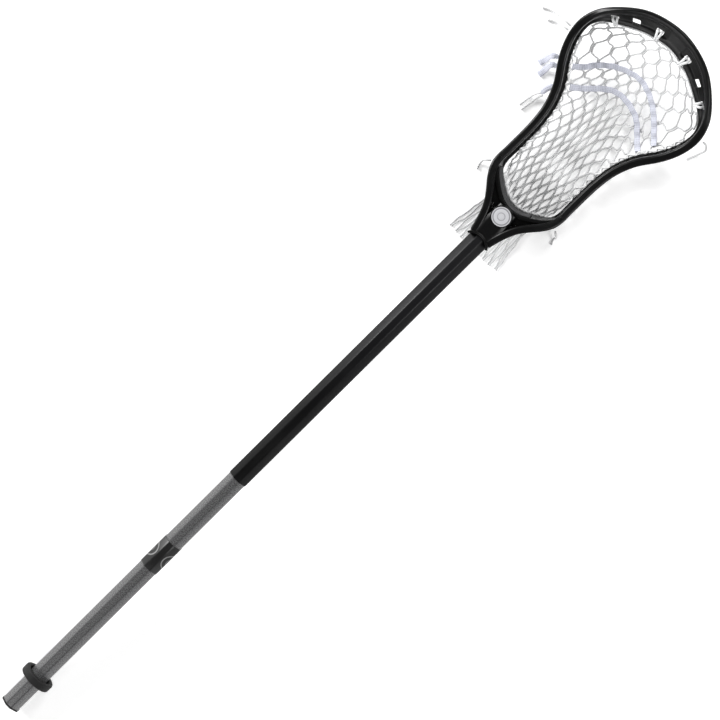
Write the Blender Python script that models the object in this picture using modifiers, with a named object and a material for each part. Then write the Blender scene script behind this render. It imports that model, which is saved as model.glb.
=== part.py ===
"""Lacrosse stick lying on its back: an octagonal shaft with grip, butt cap and butt ring, and a strung head.

Everything but the loose string ends is modelled along the shaft's own axis: x from the butt end to the scoop,
y to the left of the stick, z out of the open face. One empty then lays the stick on the ground plane.
The loose ends drop from the rails to the ground, so their routes are given in world coordinates.
"""

import math

import bmesh
import bpy
import numpy as np
from mathutils import Matrix, Vector

MM = 0.001
GAP = 0.3 * MM

# Shaft and what is on it
SHAFT_LENGTH = 762 * MM
SHAFT_WIDTH = 21.5 * MM
SHAFT_DEPTH = 25.0 * MM
SHAFT_FRONT_FLAT = 6.8 * MM
SHAFT_SIDE_FLAT = 11.0 * MM
SHAFT_WALL = 1.3 * MM
SHAFT_IN_HEAD = 45 * MM
THROAT_X = SHAFT_LENGTH - SHAFT_IN_HEAD
GRIP_START = 355 * MM
GRIP_END = THROAT_X + 8 * MM
GRIP_WALL = 0.45 * MM
BAND_START = 217.5 * MM
BAND_END = 255.8 * MM
BAND_WALL = 0.3 * MM
SKIN_GAP = 0.2 * MM
PLUG_LENGTH = 24 * MM
PLUG_TAPER = 2 * MM
CAP_THICKNESS = 1.6 * MM
CAP_PROUD = 0.5 * MM
CAP_ROUNDING = 0.5 * MM
PLUG_NARROWING = 1.2 * MM
RING_X = 41.4 * MM
RING_LENGTH = 9.5 * MM
RING_RADIUS = 18.5 * MM
RING_BORE = 13.25 * MM
RING_CHAMFER = 1.5 * MM

# Head: stations are measured along the shaft's axis from the throat's mouth
RAIL_HALF = 4.2 * MM
RAIL_LEAN = 2.5 * MM
WEB_HALF = 1.7 * MM
SCOOP_WEB_HALF = 1.2 * MM
TOP_BEAD = 3.0 * MM
LOW_BEAD = 3.5 * MM
SCOOP_HALF = 2.4 * MM
SCOOP_LEAN = 17.0 * MM
SCOOP_START = 235 * MM
SCOOP_BLEND = 65 * MM
SCOOP_HOLE_LENGTH = 8.4 * MM
SCOOP_HOLE_WIDTH = 8.2 * MM
SCOOP_HOLE_CUT = 14 * MM
STRUNG_HOLES = ((19.7 * MM, 0.74), (63.3 * MM, 0.72))
BARE_HOLE = (43.8 * MM, 0.72)
BASE_THICKNESS = 4.4 * MM
BASE_TOP = 9.0 * MM
BASE_END = 80 * MM
NARROWEST = 36.8 * MM
NARROW_START = 84 * MM
NARROW_END = 90 * MM
BASE_BOTTOM = -36.5 * MM
WINDOW_STATIONS = ((92, 120), (128, 158), (166, 200))
WINDOW_MARGIN = 9.5 * MM
WINDOW_SLANT = 5 * MM
WINDOW_ROUNDING = 4 * MM
STRING_HOLE_RADIUS = 1.9 * MM
STRING_STATIONS = (86, 106, 124, 143, 162, 183, 205)
PLATE_TOP = 6.0 * MM
PLATE_BOTTOM = 2.0 * MM
PLATE_END = 66 * MM
PLATE_IN_ARM = 4 * MM
PLATE_IN_WALL = 2 * MM
BADGE_STATION = 36.5 * MM
BADGE_RADIUS = 10.3 * MM
BADGE_THICKNESS = 1.0 * MM
BOSS_RADIUS = 11.6 * MM
BOSS_TOP = 15.9 * MM
SCREW_STATION = 20 * MM
SCREW_HEAD_RADIUS = 4.2 * MM
SCREW_HEAD_HEIGHT = 2.8 * MM
SCREW_SHANK_RADIUS = 1.9 * MM
SCREW_DEPTH = 9 * MM
PAD_THICKNESS = 2.0 * MM
PAD_TOP = 8.0 * MM
PAD_BOTTOM = -13.0 * MM
PAD_RIGHT = -21.5 * MM
PAD_LEFT = 38.0 * MM
SLIT_STATION = 37.5 * MM
SLIT_SIDE = 14.7 * MM
SLIT_LENGTH = 6.0 * MM
SLIT_WIDTH = 2.0 * MM
SLIT_TURN = 0.5
MOUTH_NOTCH_STATION = -8 * MM
MOUTH_NOTCH_RADIUS = 14 * MM
BORE_LEAD = 5 * MM
SCREW_HOLE_IN_SHAFT = 8 * MM
SCREW_HOLE_IN_HEAD = 12 * MM
SOCKET_FLAT_SIDE = 0.55
SOCKET_FLAT_FRONT = 0.52
SOCKET_CORNER = 0.86

# Longer than the head is wide, for cutters that go right through
THROUGH_HEAD = 240 * MM

# Strings, laces and mesh
STRING_DIAMETER = 2.4 * MM
SHELF_IN = 4.2 * MM
SHELF_UP = 4.6 * MM
SIDEWALL_START = 88 * MM
SIDEWALL_END = 226 * MM
BOTTOM_STRING_HEIGHT = -27 * MM
TOP_RUN_OFFSET = 2.7 * MM
TOP_RUN_HALF = 68 * MM
TOP_RUN_GAP = 7 * MM
LOOP_OFFSET = 6.2 * MM
LACE_WIDTH = 6.4 * MM
LACE_THICKNESS = 1.6 * MM
LACE_LIFT = 2.9 * MM
MESH_THICKNESS = 2.2 * MM

# The mesh in millimetres, as (station, value): its edge's height, its bag's depth and its half width.
# It is one bag from the scoop to the base wall and a flat tail on the ground behind it
RIM = ((52, -33), (84, -35), (125, -35), (160, -32.5), (190, -28), (215, -22), (235, -14.5), (250, -7),
       (266, 1.5), (281, 8.5))
BAG = ((52, 0), (64, 9), (84, 16), (110, 20), (150, 20), (190, 16), (225, 12), (255, 6), (281, 0))
HALF = ((48, 2), (56, 20), (64, 31), (72, 35), (84, 36), (124, 37), (140, 39), (156, 44), (172, 51),
        (186, 60), (204, 69), (220, 74), (237, 76), (248, 72), (261, 57), (274, 33), (282, 5))
BAG_POWER = 2.4
FLOOR_SOFTNESS = 1.5 * MM
MESH_START = 54 * MM
MESH_END = 274 * MM
MESH_CLEARANCE = 1.9 * MM
TAIL_START = 47 * MM
TAIL_END = -19 * MM
TAIL_HALF_START = 26 * MM
TAIL_HALF_END = 35 * MM
TAIL_LIFT = 3 * MM

# The stick lies on its ring at the butt end and on its pocket at the head
REST_STATION = 115 * MM
REST_DEPTH = 46.0 * MM
LIE_ANGLE = math.asin((REST_DEPTH - RING_RADIUS) / (THROAT_X + REST_STATION - RING_X))
RING_FOOT = RING_X - RING_LENGTH / 2 + RING_CHAMFER
LIE_HEIGHT = RING_RADIUS * math.cos(LIE_ANGLE) - RING_FOOT * math.sin(LIE_ANGLE)
CENTRE_X = 509.0 * MM

# One half of the rail, from the scoop's middle round to the throat, in millimetres: station, half width,
# and the heights of the band's upper and lower edges above the shaft's axis
OUTLINE = (
    (303.5, 0.0, 33.0, 12.0),
    (299.8, 25.0, 32.0, 11.0),
    (291.8, 45.0, 29.5, 8.5),
    (277.6, 63.9, 24.0, 3.5),
    (259.6, 80.0, 16.0, -5.0),
    (243.6, 86.8, 10.0, -13.5),
    (229.8, 88.2, 6.0, -20.0),
    (214.0, 85.6, 2.5, -25.5),
    (199.5, 80.0, 0.5, -29.0),
    (188.4, 73.8, -1.0, -31.5),
    (168.2, 60.6, -2.2, -35.0),
    (147.7, 52.8, -2.0, -37.5),
    (126.2, 49.7, -0.5, -38.5),
    (90.0, 49.1, 6.0, -38.5),
    (75.0, 49.2, 9.5, -37.0),
    (65.6, 47.0, 11.5, -35.5),
    (54.8, 40.6, 13.5, -32.0),
    (45.0, 32.4, 14.8, -27.5),
    (34.9, 25.0, 15.3, -22.5),
    (24.6, 20.3, 15.4, -18.0),
    (14.4, 17.0, 15.2, -15.8),
    (4.5, 14.6, 15.0, -15.0),
)

# The base wall behind the ball stop, one half, in millimetres: station, half width
BASE_LINE = ((47.9, 0.0), (50.3, 11.9), (57.2, 24.0), (64.4, 33.4), (72.5, 40.2), (80.0, 43.4))

# The throat socket's outside, in millimetres: station, half width, half depth
SOCKET = ((0.0, 12.9, 14.6), (3.0, 13.4, 15.2), (12.0, 14.2, 15.4), (22.0, 15.4, 15.4), (34.0, 13.4, 15.2),
          (45.5, 13.0, 14.8))


def curve_through(points, count):
    """Evenly spaced points of a smooth curve through chosen points (a centripetal Catmull-Rom spline)."""
    p = np.array(points, float)
    p = np.vstack([2 * p[0] - p[1], p, 2 * p[-1] - p[-2]])
    dense = []
    for a, b, c, d in zip(p, p[1:], p[2:], p[3:]):
        t0 = 0.0
        t1 = t0 + math.sqrt(np.linalg.norm(b - a))
        t2 = t1 + math.sqrt(np.linalg.norm(c - b))
        t3 = t2 + math.sqrt(np.linalg.norm(d - c))
        t = np.linspace(t1, t2, 24, endpoint=False)[:, None]
        ab = (t1 - t) / (t1 - t0) * a + (t - t0) / (t1 - t0) * b
        bc = (t2 - t) / (t2 - t1) * b + (t - t1) / (t2 - t1) * c
        cd = (t3 - t) / (t3 - t2) * c + (t - t2) / (t3 - t2) * d
        abc = (t2 - t) / (t2 - t0) * ab + (t - t0) / (t2 - t0) * bc
        bcd = (t3 - t) / (t3 - t1) * bc + (t - t1) / (t3 - t1) * cd
        dense.append((t2 - t) / (t2 - t1) * abc + (t - t1) / (t2 - t1) * bcd)
    dense = np.vstack([*dense, p[-2:-1]])
    return even_points(dense, count)


def even_points(dense, count):
    """The same line with its points evenly spaced in plan."""
    along = np.concatenate([[0], np.cumsum(np.linalg.norm(np.diff(dense[:, :2], axis=0), axis=1))])
    even = np.linspace(0, along[-1], count)
    return np.stack([np.interp(even, along, dense[:, k]) for k in range(dense.shape[1])], axis=1)


def mirrored(half):
    """A half line from the middle plane outwards, joined to its mirror image: right end, middle, left end."""
    return np.vstack([(half * np.array([1, -1, 1, 1])[: half.shape[1]])[:0:-1], half])


def rail_rows(count):
    """The rail as rows of x, y, upper and lower height, from the right of the throat round to the left."""
    half = np.array(OUTLINE) * MM + np.array([THROAT_X, 0, 0, 0])
    return curve_through(mirrored(half), count)


def base_rows(count):
    """The base wall's inner face in plan as rows of x, y, from right to left."""
    half = np.array(BASE_LINE) * MM + np.array([THROAT_X, 0])
    return curve_through(mirrored(half), count)


def inward(rows):
    """Unit vectors square to the rail in plan, pointing into the head's opening."""
    step = np.gradient(rows[:, :2], axis=0)
    step /= np.linalg.norm(step, axis=1)[:, None]
    return np.stack([-step[:, 1], step[:, 0], np.zeros(len(rows))], axis=1)


def off_base(rows):
    """Unit vectors square to the base wall in plan, pointing into the head's opening."""
    return -inward(rows)


def scoop_share(rows):
    """1 on the scoop, 0 on the rails, with a smooth change above the head's widest part."""
    t = np.clip((rows[:, :1] - THROAT_X - SCOOP_START) / SCOOP_BLEND, 0, 1)
    return t * t * (3 - 2 * t)


def band_frames(rows):
    """The band's upper and lower bead lines, the way down the band, its outward normal and its height.

    The band stands nearly upright at the sides and leans into the opening at the scoop.
    """
    share = scoop_share(rows)
    into = inward(rows)
    edge = RAIL_HALF + GAP - share * (RAIL_HALF - SCOOP_HALF)
    lean = RAIL_LEAN + share * (SCOOP_LEAN - RAIL_LEAN)
    top = np.hstack([rows[:, :2], rows[:, 2:3] - TOP_BEAD]) + into * edge
    low = np.hstack([rows[:, :2], rows[:, 3:4] + LOW_BEAD]) + into * (edge + lean)
    height = np.linalg.norm(low - top, axis=1)[:, None]
    down = (low - top) / height
    across = (down * into).sum(1)[:, None]
    out = -into * np.sqrt(1 - across**2) - np.array([0, 0, 1.0]) * across
    return top, low, down, out, height


def band_sections(rows):
    """Closed sections of the band: a bead along each edge and a thinner web between them."""
    top, _, down, out, height = band_frames(rows)
    share = scoop_share(rows)
    bead = RAIL_HALF - share * (RAIL_HALF - SCOOP_HALF)
    web = WEB_HALF - share * (WEB_HALF - SCOOP_WEB_HALF)
    shoulder = bead - web
    outer = (
        (-TOP_BEAD, bead * 0.55),
        (-TOP_BEAD * 0.45, bead),
        (TOP_BEAD * 0.7, bead),
        (TOP_BEAD * 0.7 + shoulder, web),
        (height - LOW_BEAD * 0.6 - shoulder, web),
        (height - LOW_BEAD * 0.6, bead),
        (height + LOW_BEAD * 0.45, bead),
        (height + LOW_BEAD, bead * 0.5),
    )
    section = [*outer, *[(a, -q) for a, q in outer[::-1]]]
    return np.stack([top + down * a + out * q for a, q in section], axis=1)


def ground(x):
    """Height of the ground plane in the stick's own frame."""
    return -(LIE_HEIGHT + x * math.sin(LIE_ANGLE)) / math.cos(LIE_ANGLE)


def opening_half_width(x, rows, clearance):
    """Half width of the head's opening at a station, inside the band's lower bead and the base wall."""
    _, low, down, _, _ = band_frames(rows)
    edge = low + inward(rows) * (RAIL_HALF + clearance) + down * scoop_share(rows) * LOW_BEAD
    half = edge[len(edge) // 2 :]
    half = half[half[:, 0] > THROAT_X + NARROW_START]
    base = base_rows(61)[30:]
    base = base + off_base(base)[:, :2] * clearance
    base = base[base[:, 0] < THROAT_X + BASE_END]
    line = np.vstack([half[:, :2], base[::-1]])[::-1]
    width = np.interp(x, line[:, 0], line[:, 1])
    return np.where(x < THROAT_X + NARROW_END, np.minimum(width, NARROWEST - clearance), width)


def mesh_height(x, y):
    """Height of the mesh's middle surface: a bag hung from the rails that lies flat on the ground."""
    s = (x - THROAT_X) / MM
    rim, bag, half = (np.interp(s, *np.array(table).T) for table in (RIM, BAG, HALF))
    v = np.clip(np.abs(y) / MM / half, 0, 1)
    sag = (rim - bag * (1 - v**BAG_POWER)) * MM
    floor = ground(x) + MESH_THICKNESS / 2 + GAP / 10
    return floor + FLOOR_SOFTNESS * np.logaddexp(0, (sag - floor) / FLOOR_SOFTNESS)


def mesh_normals(x, y):
    """Upward unit normals of the mesh's middle surface."""
    step = 2 * MM
    slope_x = (mesh_height(x + step, y) - mesh_height(x - step, y)) / (2 * step)
    slope_y = (mesh_height(x, y + step) - mesh_height(x, y - step)) / (2 * step)
    normal = np.stack([-slope_x, -slope_y, np.ones_like(slope_x)], axis=-1)
    return normal / np.linalg.norm(normal, axis=-1, keepdims=True)


def new_object(name, mesh, material):
    """Links a mesh object to the stick's collection and to the empty that lays it down."""
    ob = bpy.data.objects.new(name, mesh)
    STICK.objects.link(ob)
    ob.parent = LIE
    ob.data.materials.clear()
    ob.data.materials.append(material)
    return ob


def cleaned(mesh, weld):
    """Welds a mesh's loose caps and turns its faces outwards."""
    bm = bmesh.new()
    bm.from_mesh(mesh)
    bmesh.ops.remove_doubles(bm, verts=bm.verts, dist=weld)
    bmesh.ops.recalc_face_normals(bm, faces=bm.faces)
    bm.to_mesh(mesh)
    bm.free()
    return mesh


def evaluated_mesh(ob, weld=1e-6):
    """The object's evaluated mesh, welded, as a mesh of its own."""
    bpy.context.view_layer.update()
    mesh = bpy.data.meshes.new_from_object(ob.evaluated_get(bpy.context.evaluated_depsgraph_get()))
    return cleaned(mesh, weld)


def loft(name, rings):
    """A closed solid through a list of rings with the same number of points, capped at both ends."""
    n = len(rings[0])
    points = np.vstack([np.asarray(ring) for ring in rings])
    last = (len(rings) - 1) * n
    faces = [tuple(range(n)), tuple(range(last, last + n))]
    for start in range(0, last, n):
        faces += [(start + j, start + (j + 1) % n, start + n + (j + 1) % n, start + n + j) for j in range(n)]
    mesh = bpy.data.meshes.new(name)
    mesh.from_pydata([tuple(p) for p in points], [], faces)
    return cleaned(mesh, 1e-7)


def shell(name, top, bottom):
    """A closed sheet between two grids of points of the same shape."""
    rows, columns = top.shape[:2]
    index = np.arange(rows * columns).reshape(rows, columns)
    quads = np.stack([index[:-1, :-1], index[1:, :-1], index[1:, 1:], index[:-1, 1:]], axis=-1).reshape(-1, 4)
    border = np.concatenate([index[0, :-1], index[:-1, -1], index[-1, :0:-1], index[:0:-1, 0]])
    under = rows * columns
    faces = [*map(tuple, quads.tolist()), *[tuple(q[::-1]) for q in (quads + under).tolist()]]
    for a, b in zip(border.tolist(), np.roll(border, -1).tolist()):
        faces.append((a, b, b + under, a + under))
    mesh = bpy.data.meshes.new(name)
    mesh.from_pydata([tuple(p) for p in np.vstack([top.reshape(-1, 3), bottom.reshape(-1, 3)])], [], faces)
    return cleaned(mesh, 1e-7)


def octagon(offset=0.0):
    """The shaft's outline in y and z, eight flats, moved outwards by an offset."""
    half_w, half_d = SHAFT_WIDTH / 2, SHAFT_DEPTH / 2
    slant = Vector((half_d - SHAFT_SIDE_FLAT / 2, half_w - SHAFT_FRONT_FLAT / 2)).normalized()
    reach = slant.x * half_w + slant.y * SHAFT_SIDE_FLAT / 2 + offset
    w, d = half_w + offset, half_d + offset
    y, z = (reach - slant.y * d) / slant.x, (reach - slant.x * w) / slant.y
    return [(w, z), (y, d), (-y, d), (-w, z), (-w, -z), (-y, -d), (y, -d), (w, -z)]


def prism(name, outlines, start, end, material):
    """An outline in y and z, with any holes, extruded along x between two stations."""
    curve = bpy.data.curves.new(name, "CURVE")
    curve.dimensions = "2D"
    curve.fill_mode = "BOTH"
    curve.extrude = (end - start) / 2
    for outline in outlines:
        spline = curve.splines.new("POLY")
        spline.points.add(len(outline) - 1)
        for point, (y, z) in zip(spline.points, outline):
            point.co = (y, z, 0, 1)
        spline.use_cyclic_u = True
    flat = bpy.data.objects.new(name, curve)
    CUTTERS.objects.link(flat)
    along_x = Matrix(((0, 0, 1, 0), (1, 0, 0, 0), (0, 1, 0, 0), (0, 0, 0, 1)))
    mesh = evaluated_mesh(flat)
    bpy.data.objects.remove(flat)
    mesh.transform(Matrix.Translation(((start + end) / 2, 0, 0)) @ along_x)
    return new_object(name, cleaned(mesh, 1e-6), material)


def turned(name, profile, material, steps):
    """A closed profile of axial distance and radius turned about x; a profile on the axis stays solid."""
    outline = bpy.data.meshes.new(name)
    n = len(profile)
    on_axis = profile[0][1] == 0
    edges = [(i, (i + 1) % n) for i in range(n - on_axis)]
    outline.from_pydata([(x, 0, r) for x, r in profile], edges, [])
    guide = bpy.data.objects.new(name, outline)
    CUTTERS.objects.link(guide)
    screw = guide.modifiers.new("Turn", "SCREW")
    screw.axis = "X"
    screw.steps = screw.render_steps = steps
    screw.use_merge_vertices = True
    screw.merge_threshold = 1e-5
    mesh = evaluated_mesh(guide)
    bpy.data.objects.remove(guide)
    return new_object(name, mesh, material)


def block(name, centre, axes, size):
    """A cutting block: a cube with its own axes."""
    mesh = bpy.data.meshes.new(name)
    bm = bmesh.new()
    bmesh.ops.create_cube(bm, size=1.0)
    bm.to_mesh(mesh)
    bm.free()
    turn = Matrix([[*row] for row in np.array(axes).T]).to_4x4()
    mesh.transform(Matrix.Translation(centre) @ turn @ Matrix.Diagonal((*size, 1)))
    return cutter(name, cleaned(mesh, 1e-7))


def rod(name, centre, axis, radius, length, sides=12):
    """A cutting rod or a boss: a capped cylinder along an axis."""
    mesh = bpy.data.meshes.new(name)
    bm = bmesh.new()
    bmesh.ops.create_cone(bm, cap_ends=True, segments=sides, radius1=radius, radius2=radius, depth=length)
    bm.to_mesh(mesh)
    bm.free()
    mesh.transform(Matrix.Translation(centre) @ Vector(axis).to_track_quat("Z", "Y").to_matrix().to_4x4())
    return cutter(name, mesh)


def cutter(name, mesh):
    ob = bpy.data.objects.new(name, mesh)
    ob.hide_render = True
    ob.display_type = "WIRE"
    CUTTERS.objects.link(ob)
    ob.parent = LIE
    return ob


def boolean(ob, other, operation):
    """Applies an exact Boolean with another object, which is then removed."""
    modifier = ob.modifiers.new(operation.title(), "BOOLEAN")
    modifier.operation = operation
    modifier.solver = "EXACT"
    modifier.object = other
    bpy.context.view_layer.update()
    mesh = bpy.data.meshes.new_from_object(ob.evaluated_get(bpy.context.evaluated_depsgraph_get()))
    ob.modifiers.clear()
    ob.data = mesh
    bpy.data.objects.remove(other)


def cord(name, points, diameter, material, parent=None):
    """A round cord along points that already lie on a smooth curve."""
    curve = bpy.data.curves.new(name, "CURVE")
    curve.dimensions = "3D"
    curve.bevel_depth = diameter / 2
    curve.bevel_resolution = 2
    curve.use_fill_caps = True
    spline = curve.splines.new("POLY")
    spline.points.add(len(points) - 1)
    for point, co in zip(spline.points, points):
        point.co = (*co, 1)
    curve.materials.append(material)
    ob = bpy.data.objects.new(name, curve)
    STICK.objects.link(ob)
    ob.parent = parent
    return ob


def ribbon(name, path, ups, width, thickness, material, parent):
    """A flat lace swept along a path with its flat side square to the given directions."""
    step = np.gradient(path, axis=0)
    step /= np.linalg.norm(step, axis=1)[:, None]
    up = ups - (ups * step).sum(1)[:, None] * step
    up /= np.linalg.norm(up, axis=1)[:, None]
    side = np.cross(step, up)
    w, t = width / 2, thickness / 2
    section = ((w, 0), (w - t, t), (t - w, t), (-w, 0), (t - w, -t), (w - t, -t))
    rings = [[p + s * a + u * b for a, b in section] for p, s, u in zip(path, side, up)]
    ob = new_object(name, loft(name, rings), material)
    ob.parent = parent
    return ob


def finish(name, colour, roughness, metallic=0.0):
    """A Principled material."""
    material = bpy.data.materials.new(name)
    material.use_nodes = True
    shader = material.node_tree.nodes["Principled BSDF"]
    shader.inputs["Base Color"].default_value = (*colour, 1)
    shader.inputs["Roughness"].default_value = roughness
    shader.inputs["Metallic"].default_value = metallic
    return material


def build_shaft():
    """The octagonal tube, with a clearance hole for the head's screw in its rear flat."""
    shaft = prism("shaft", [octagon(), octagon(-SHAFT_WALL)], 0, SHAFT_LENGTH,
                  finish("satin_grey_alloy", (0.19, 0.19, 0.2), 0.42, 0.6))
    hole_at = (THROAT_X + SCREW_STATION, 0, -SHAFT_DEPTH / 2)
    hole = rod("screw_hole", hole_at, (0, 0, 1), SCREW_SHANK_RADIUS + GAP, SCREW_HOLE_IN_SHAFT)
    boolean(shaft, hole, "DIFFERENCE")


def sleeve(name, start, end, wall, material):
    """A thin skin around the shaft."""
    return prism(name, [octagon(SKIN_GAP + wall), octagon(SKIN_GAP)], start, end, material)


def build_butt_cap():
    """The plug in the shaft's open end with the flange that covers the tube's edge."""
    rubber = finish("black_rubber", (0.012, 0.012, 0.012), 0.7)
    inner = octagon(-SHAFT_WALL - GAP)
    flange = octagon(CAP_PROUD)
    back = -GAP - CAP_THICKNESS
    stations = ((back, octagon(CAP_PROUD - CAP_ROUNDING)), (back + CAP_ROUNDING, flange), (-GAP, flange),
                (-GAP, inner), (PLUG_LENGTH - PLUG_TAPER, inner),
                (PLUG_LENGTH, octagon(-SHAFT_WALL - GAP - PLUG_NARROWING)))
    rings = [[(x, y, z) for y, z in outline] for x, outline in stations]
    new_object("butt_cap", loft("butt_cap", rings), rubber)


def build_butt_ring():
    """The turned rubber ring round the shaft, with its origin on the axis it slides along."""
    half, c = RING_LENGTH / 2, RING_CHAMFER
    profile = ((-half, RING_BORE + c / 2), (-half, RING_RADIUS - c), (-half + c / 2, RING_RADIUS - c / 3),
               (-half + c, RING_RADIUS), (half - c, RING_RADIUS), (half - c / 2, RING_RADIUS - c / 3),
               (half, RING_RADIUS - c), (half, RING_BORE + c / 2), (half - c / 2, RING_BORE),
               (-half + c / 2, RING_BORE))
    ring = turned("butt_ring", profile, finish("ring_rubber", (0.012, 0.012, 0.012), 0.75), 48)
    ring.location.x = RING_X


def build_head():
    """The one-piece moulding: rails and scoop, base wall, throat plate, badge boss and shaft socket."""
    plastic = finish("black_nylon", (0.01, 0.01, 0.01), 0.25)
    head = new_object("head_frame", loft("head_frame", list(band_sections(rail_rows(121)))), plastic)
    boolean(head, cutter("base_wall", base_wall_mesh()), "UNION")
    boolean(head, cutter("throat_plate", throat_plate_mesh()), "UNION")
    boss = (THROAT_X + BADGE_STATION, 0, (BOSS_TOP + PLATE_BOTTOM) / 2)
    boolean(head, cutter("socket", socket_mesh()), "UNION")
    boolean(head, rod("badge_boss", boss, (0, 0, 1), BOSS_RADIUS, BOSS_TOP - PLATE_BOTTOM, 32), "UNION")
    for name, outline, end in (("bore", octagon(GAP), SHAFT_LENGTH + GAP),
                               ("mouth", octagon(SKIN_GAP + GRIP_WALL + GAP), GRIP_END + GAP)):
        rings = [[(x, y, z) for y, z in outline] for x in (THROAT_X - BORE_LEAD, end)]
        boolean(head, cutter(name, loft(name, rings)), "DIFFERENCE")
    cut_mouth(head)
    cut_windows(head)
    cut_scoop_holes(head)
    low = band_frames(rail_rows(121))[1][61:]
    for station in STRING_STATIONS:
        height = np.interp(-station * MM - THROAT_X, -low[:, 0], low[:, 2])
        centre = (THROAT_X + station * MM, 0, height)
        hole = rod("string_hole", centre, (0, 1, 0), STRING_HOLE_RADIUS, THROUGH_HEAD, 8)
        boolean(head, hole, "DIFFERENCE")
    hole_at = (THROAT_X + SCREW_STATION, 0, -SHAFT_DEPTH / 2)
    screw_hole = rod("screw_hole", hole_at, (0, 0, 1), SCREW_SHANK_RADIUS + GAP, SCREW_HOLE_IN_HEAD)
    boolean(head, screw_hole, "DIFFERENCE")
    for side in (1, -1):
        slit = (THROAT_X + SLIT_STATION, side * SLIT_SIDE, 0)
        slant = Vector((math.cos(SLIT_TURN), side * math.sin(SLIT_TURN), 0))
        axes = (slant, Vector((0, 0, 1)).cross(slant), Vector((0, 0, 1)))
        boolean(head, block("slit", slit, axes, (SLIT_LENGTH, SLIT_WIDTH, 3 * PLATE_TOP)), "DIFFERENCE")


def base_wall_mesh():
    """The curved wall that stops the ball, upright between the two rails."""
    rows = base_rows(25)
    into = off_base(rows)
    rings = []
    for (x, y), n in zip(rows, into):
        inner, outer = Vector((x, y, 0)), Vector((x, y, 0)) - Vector(n) * BASE_THICKNESS
        rings.append([(*p.xy, z) for p, z in ((inner, BASE_BOTTOM), (outer, BASE_BOTTOM), (outer, BASE_TOP),
                                              (inner, BASE_TOP))])
    return loft("base_wall", rings)


def throat_plate_mesh():
    """The flat plate that fills the throat between the base wall and the two arms."""
    rows = rail_rows(121)[61:]
    arm = rows[rows[:, 0] < THROAT_X + PLATE_END]
    left = [(x, y - PLATE_IN_ARM) for x, y in arm[:, :2]]
    outline = [*left, *[(x, -y) for x, y in left[::-1]]]
    base = base_rows(25)
    wall = [(x - PLATE_IN_WALL, y) for x, y in base if abs(y) < left[0][1] - PLATE_IN_ARM]
    outline += wall
    rings = [[(x, y, z) for x, y in outline] for z in (PLATE_BOTTOM, PLATE_TOP)]
    return loft("throat_plate", rings)


def socket_mesh():
    """The socket that the shaft goes into, an octagon with wide corners that swells towards the head."""
    quarter = ((1, SOCKET_FLAT_SIDE), (SOCKET_CORNER, SOCKET_CORNER), (SOCKET_FLAT_FRONT, 1))
    right_top = [*quarter, *[(-w, d) for w, d in quarter[::-1]]]
    outline = [*right_top, *[(-w, -d) for w, d in right_top]]
    rings = [[(THROAT_X + station, w * half_w, d * half_d) for w, d in outline]
             for station, half_w, half_d in np.array(SOCKET) * MM]
    return loft("socket", rings)


def cut_mouth(head):
    """Hollows the socket's front and rear edges, which leaves a lip on each side of the shaft."""
    centre = (THROAT_X + MOUTH_NOTCH_STATION, 0, 0)
    mouth = rod("mouth_notch", centre, (0, 0, 1), MOUTH_NOTCH_RADIUS, THROUGH_HEAD, 40)
    boolean(head, mouth, "DIFFERENCE")


def cut_windows(head):
    """Opens the sidewalls between their struts, both sides at once."""
    rows = rail_rows(121)[61:]
    for start, end in WINDOW_STATIONS:
        upper = [THROAT_X + start * MM + WINDOW_SLANT, THROAT_X + end * MM]
        lower = [THROAT_X + start * MM, THROAT_X + end * MM - WINDOW_SLANT]
        top = [(x, np.interp(-x, -rows[:, 0], rows[:, 2]) - WINDOW_MARGIN) for x in upper]
        low = [(x, np.interp(-x, -rows[:, 0], rows[:, 3]) + WINDOW_MARGIN + MM) for x in lower]
        outline = rounded([*top, *low[::-1]], WINDOW_ROUNDING)
        rings = [[(x, y, z) for x, z in outline] for y in (-THROUGH_HEAD / 2, THROUGH_HEAD / 2)]
        boolean(head, cutter("window", loft("window", rings)), "DIFFERENCE")


def rounded(corners, radius):
    """The corners of a flat outline, each replaced by three points of a rounding."""
    points = []
    for i, corner in enumerate(corners):
        here = Vector(corner)
        before = (Vector(corners[i - 1]) - here).normalized() * radius
        after = (Vector(corners[(i + 1) % len(corners)]) - here).normalized() * radius
        points += [here + before, here + (before + after) * 0.3, here + after]
    return [tuple(p) for p in points]


def hole_frames():
    """Centre, way along the scoop, way down the band and outward normal at each scoop hole."""
    rows = rail_rows(241)
    top, low, down, out, _ = band_frames(rows)
    frames = {}
    for place, share in (*STRUNG_HOLES, BARE_HOLE):
        for side in (1, -1):
            centres = top + (low - top) * share
            on_scoop = rows[:, 0] > THROAT_X + SCOOP_START
            i = np.argmin(np.abs(centres[:, 1] - side * place) + 10 * ~on_scoop)
            frames[side * place] = (centres[i], np.cross(out[i], down[i]), down[i], out[i], low[i])
    return frames


def cut_scoop_holes(head):
    """Six slots through the scoop for the top string."""
    for centre, along, down, out, _ in hole_frames().values():
        size = (SCOOP_HOLE_LENGTH, SCOOP_HOLE_WIDTH, SCOOP_HOLE_CUT)
        boolean(head, block("scoop_hole", centre, (along, down, out), size), "DIFFERENCE")


def build_ball_stop():
    """The foam strip on the base wall's inner face."""
    rows = base_rows(121)
    rows = rows[(rows[:, 1] > PAD_RIGHT) & (rows[:, 1] < PAD_LEFT)][::4]
    into = off_base(rows)
    rings = []
    for (x, y), n in zip(rows, into):
        outer = Vector((x, y, 0)) + Vector(n) * GAP
        inner = outer + Vector(n) * PAD_THICKNESS
        rings.append([(*p.xy, z) for p, z in ((inner, PAD_BOTTOM), (outer, PAD_BOTTOM), (outer, PAD_TOP),
                                              (inner, PAD_TOP))])
    new_object("ball_stop_pad", loft("ball_stop_pad", rings), finish("dark_foam", (0.05, 0.05, 0.055), 0.9))


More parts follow.
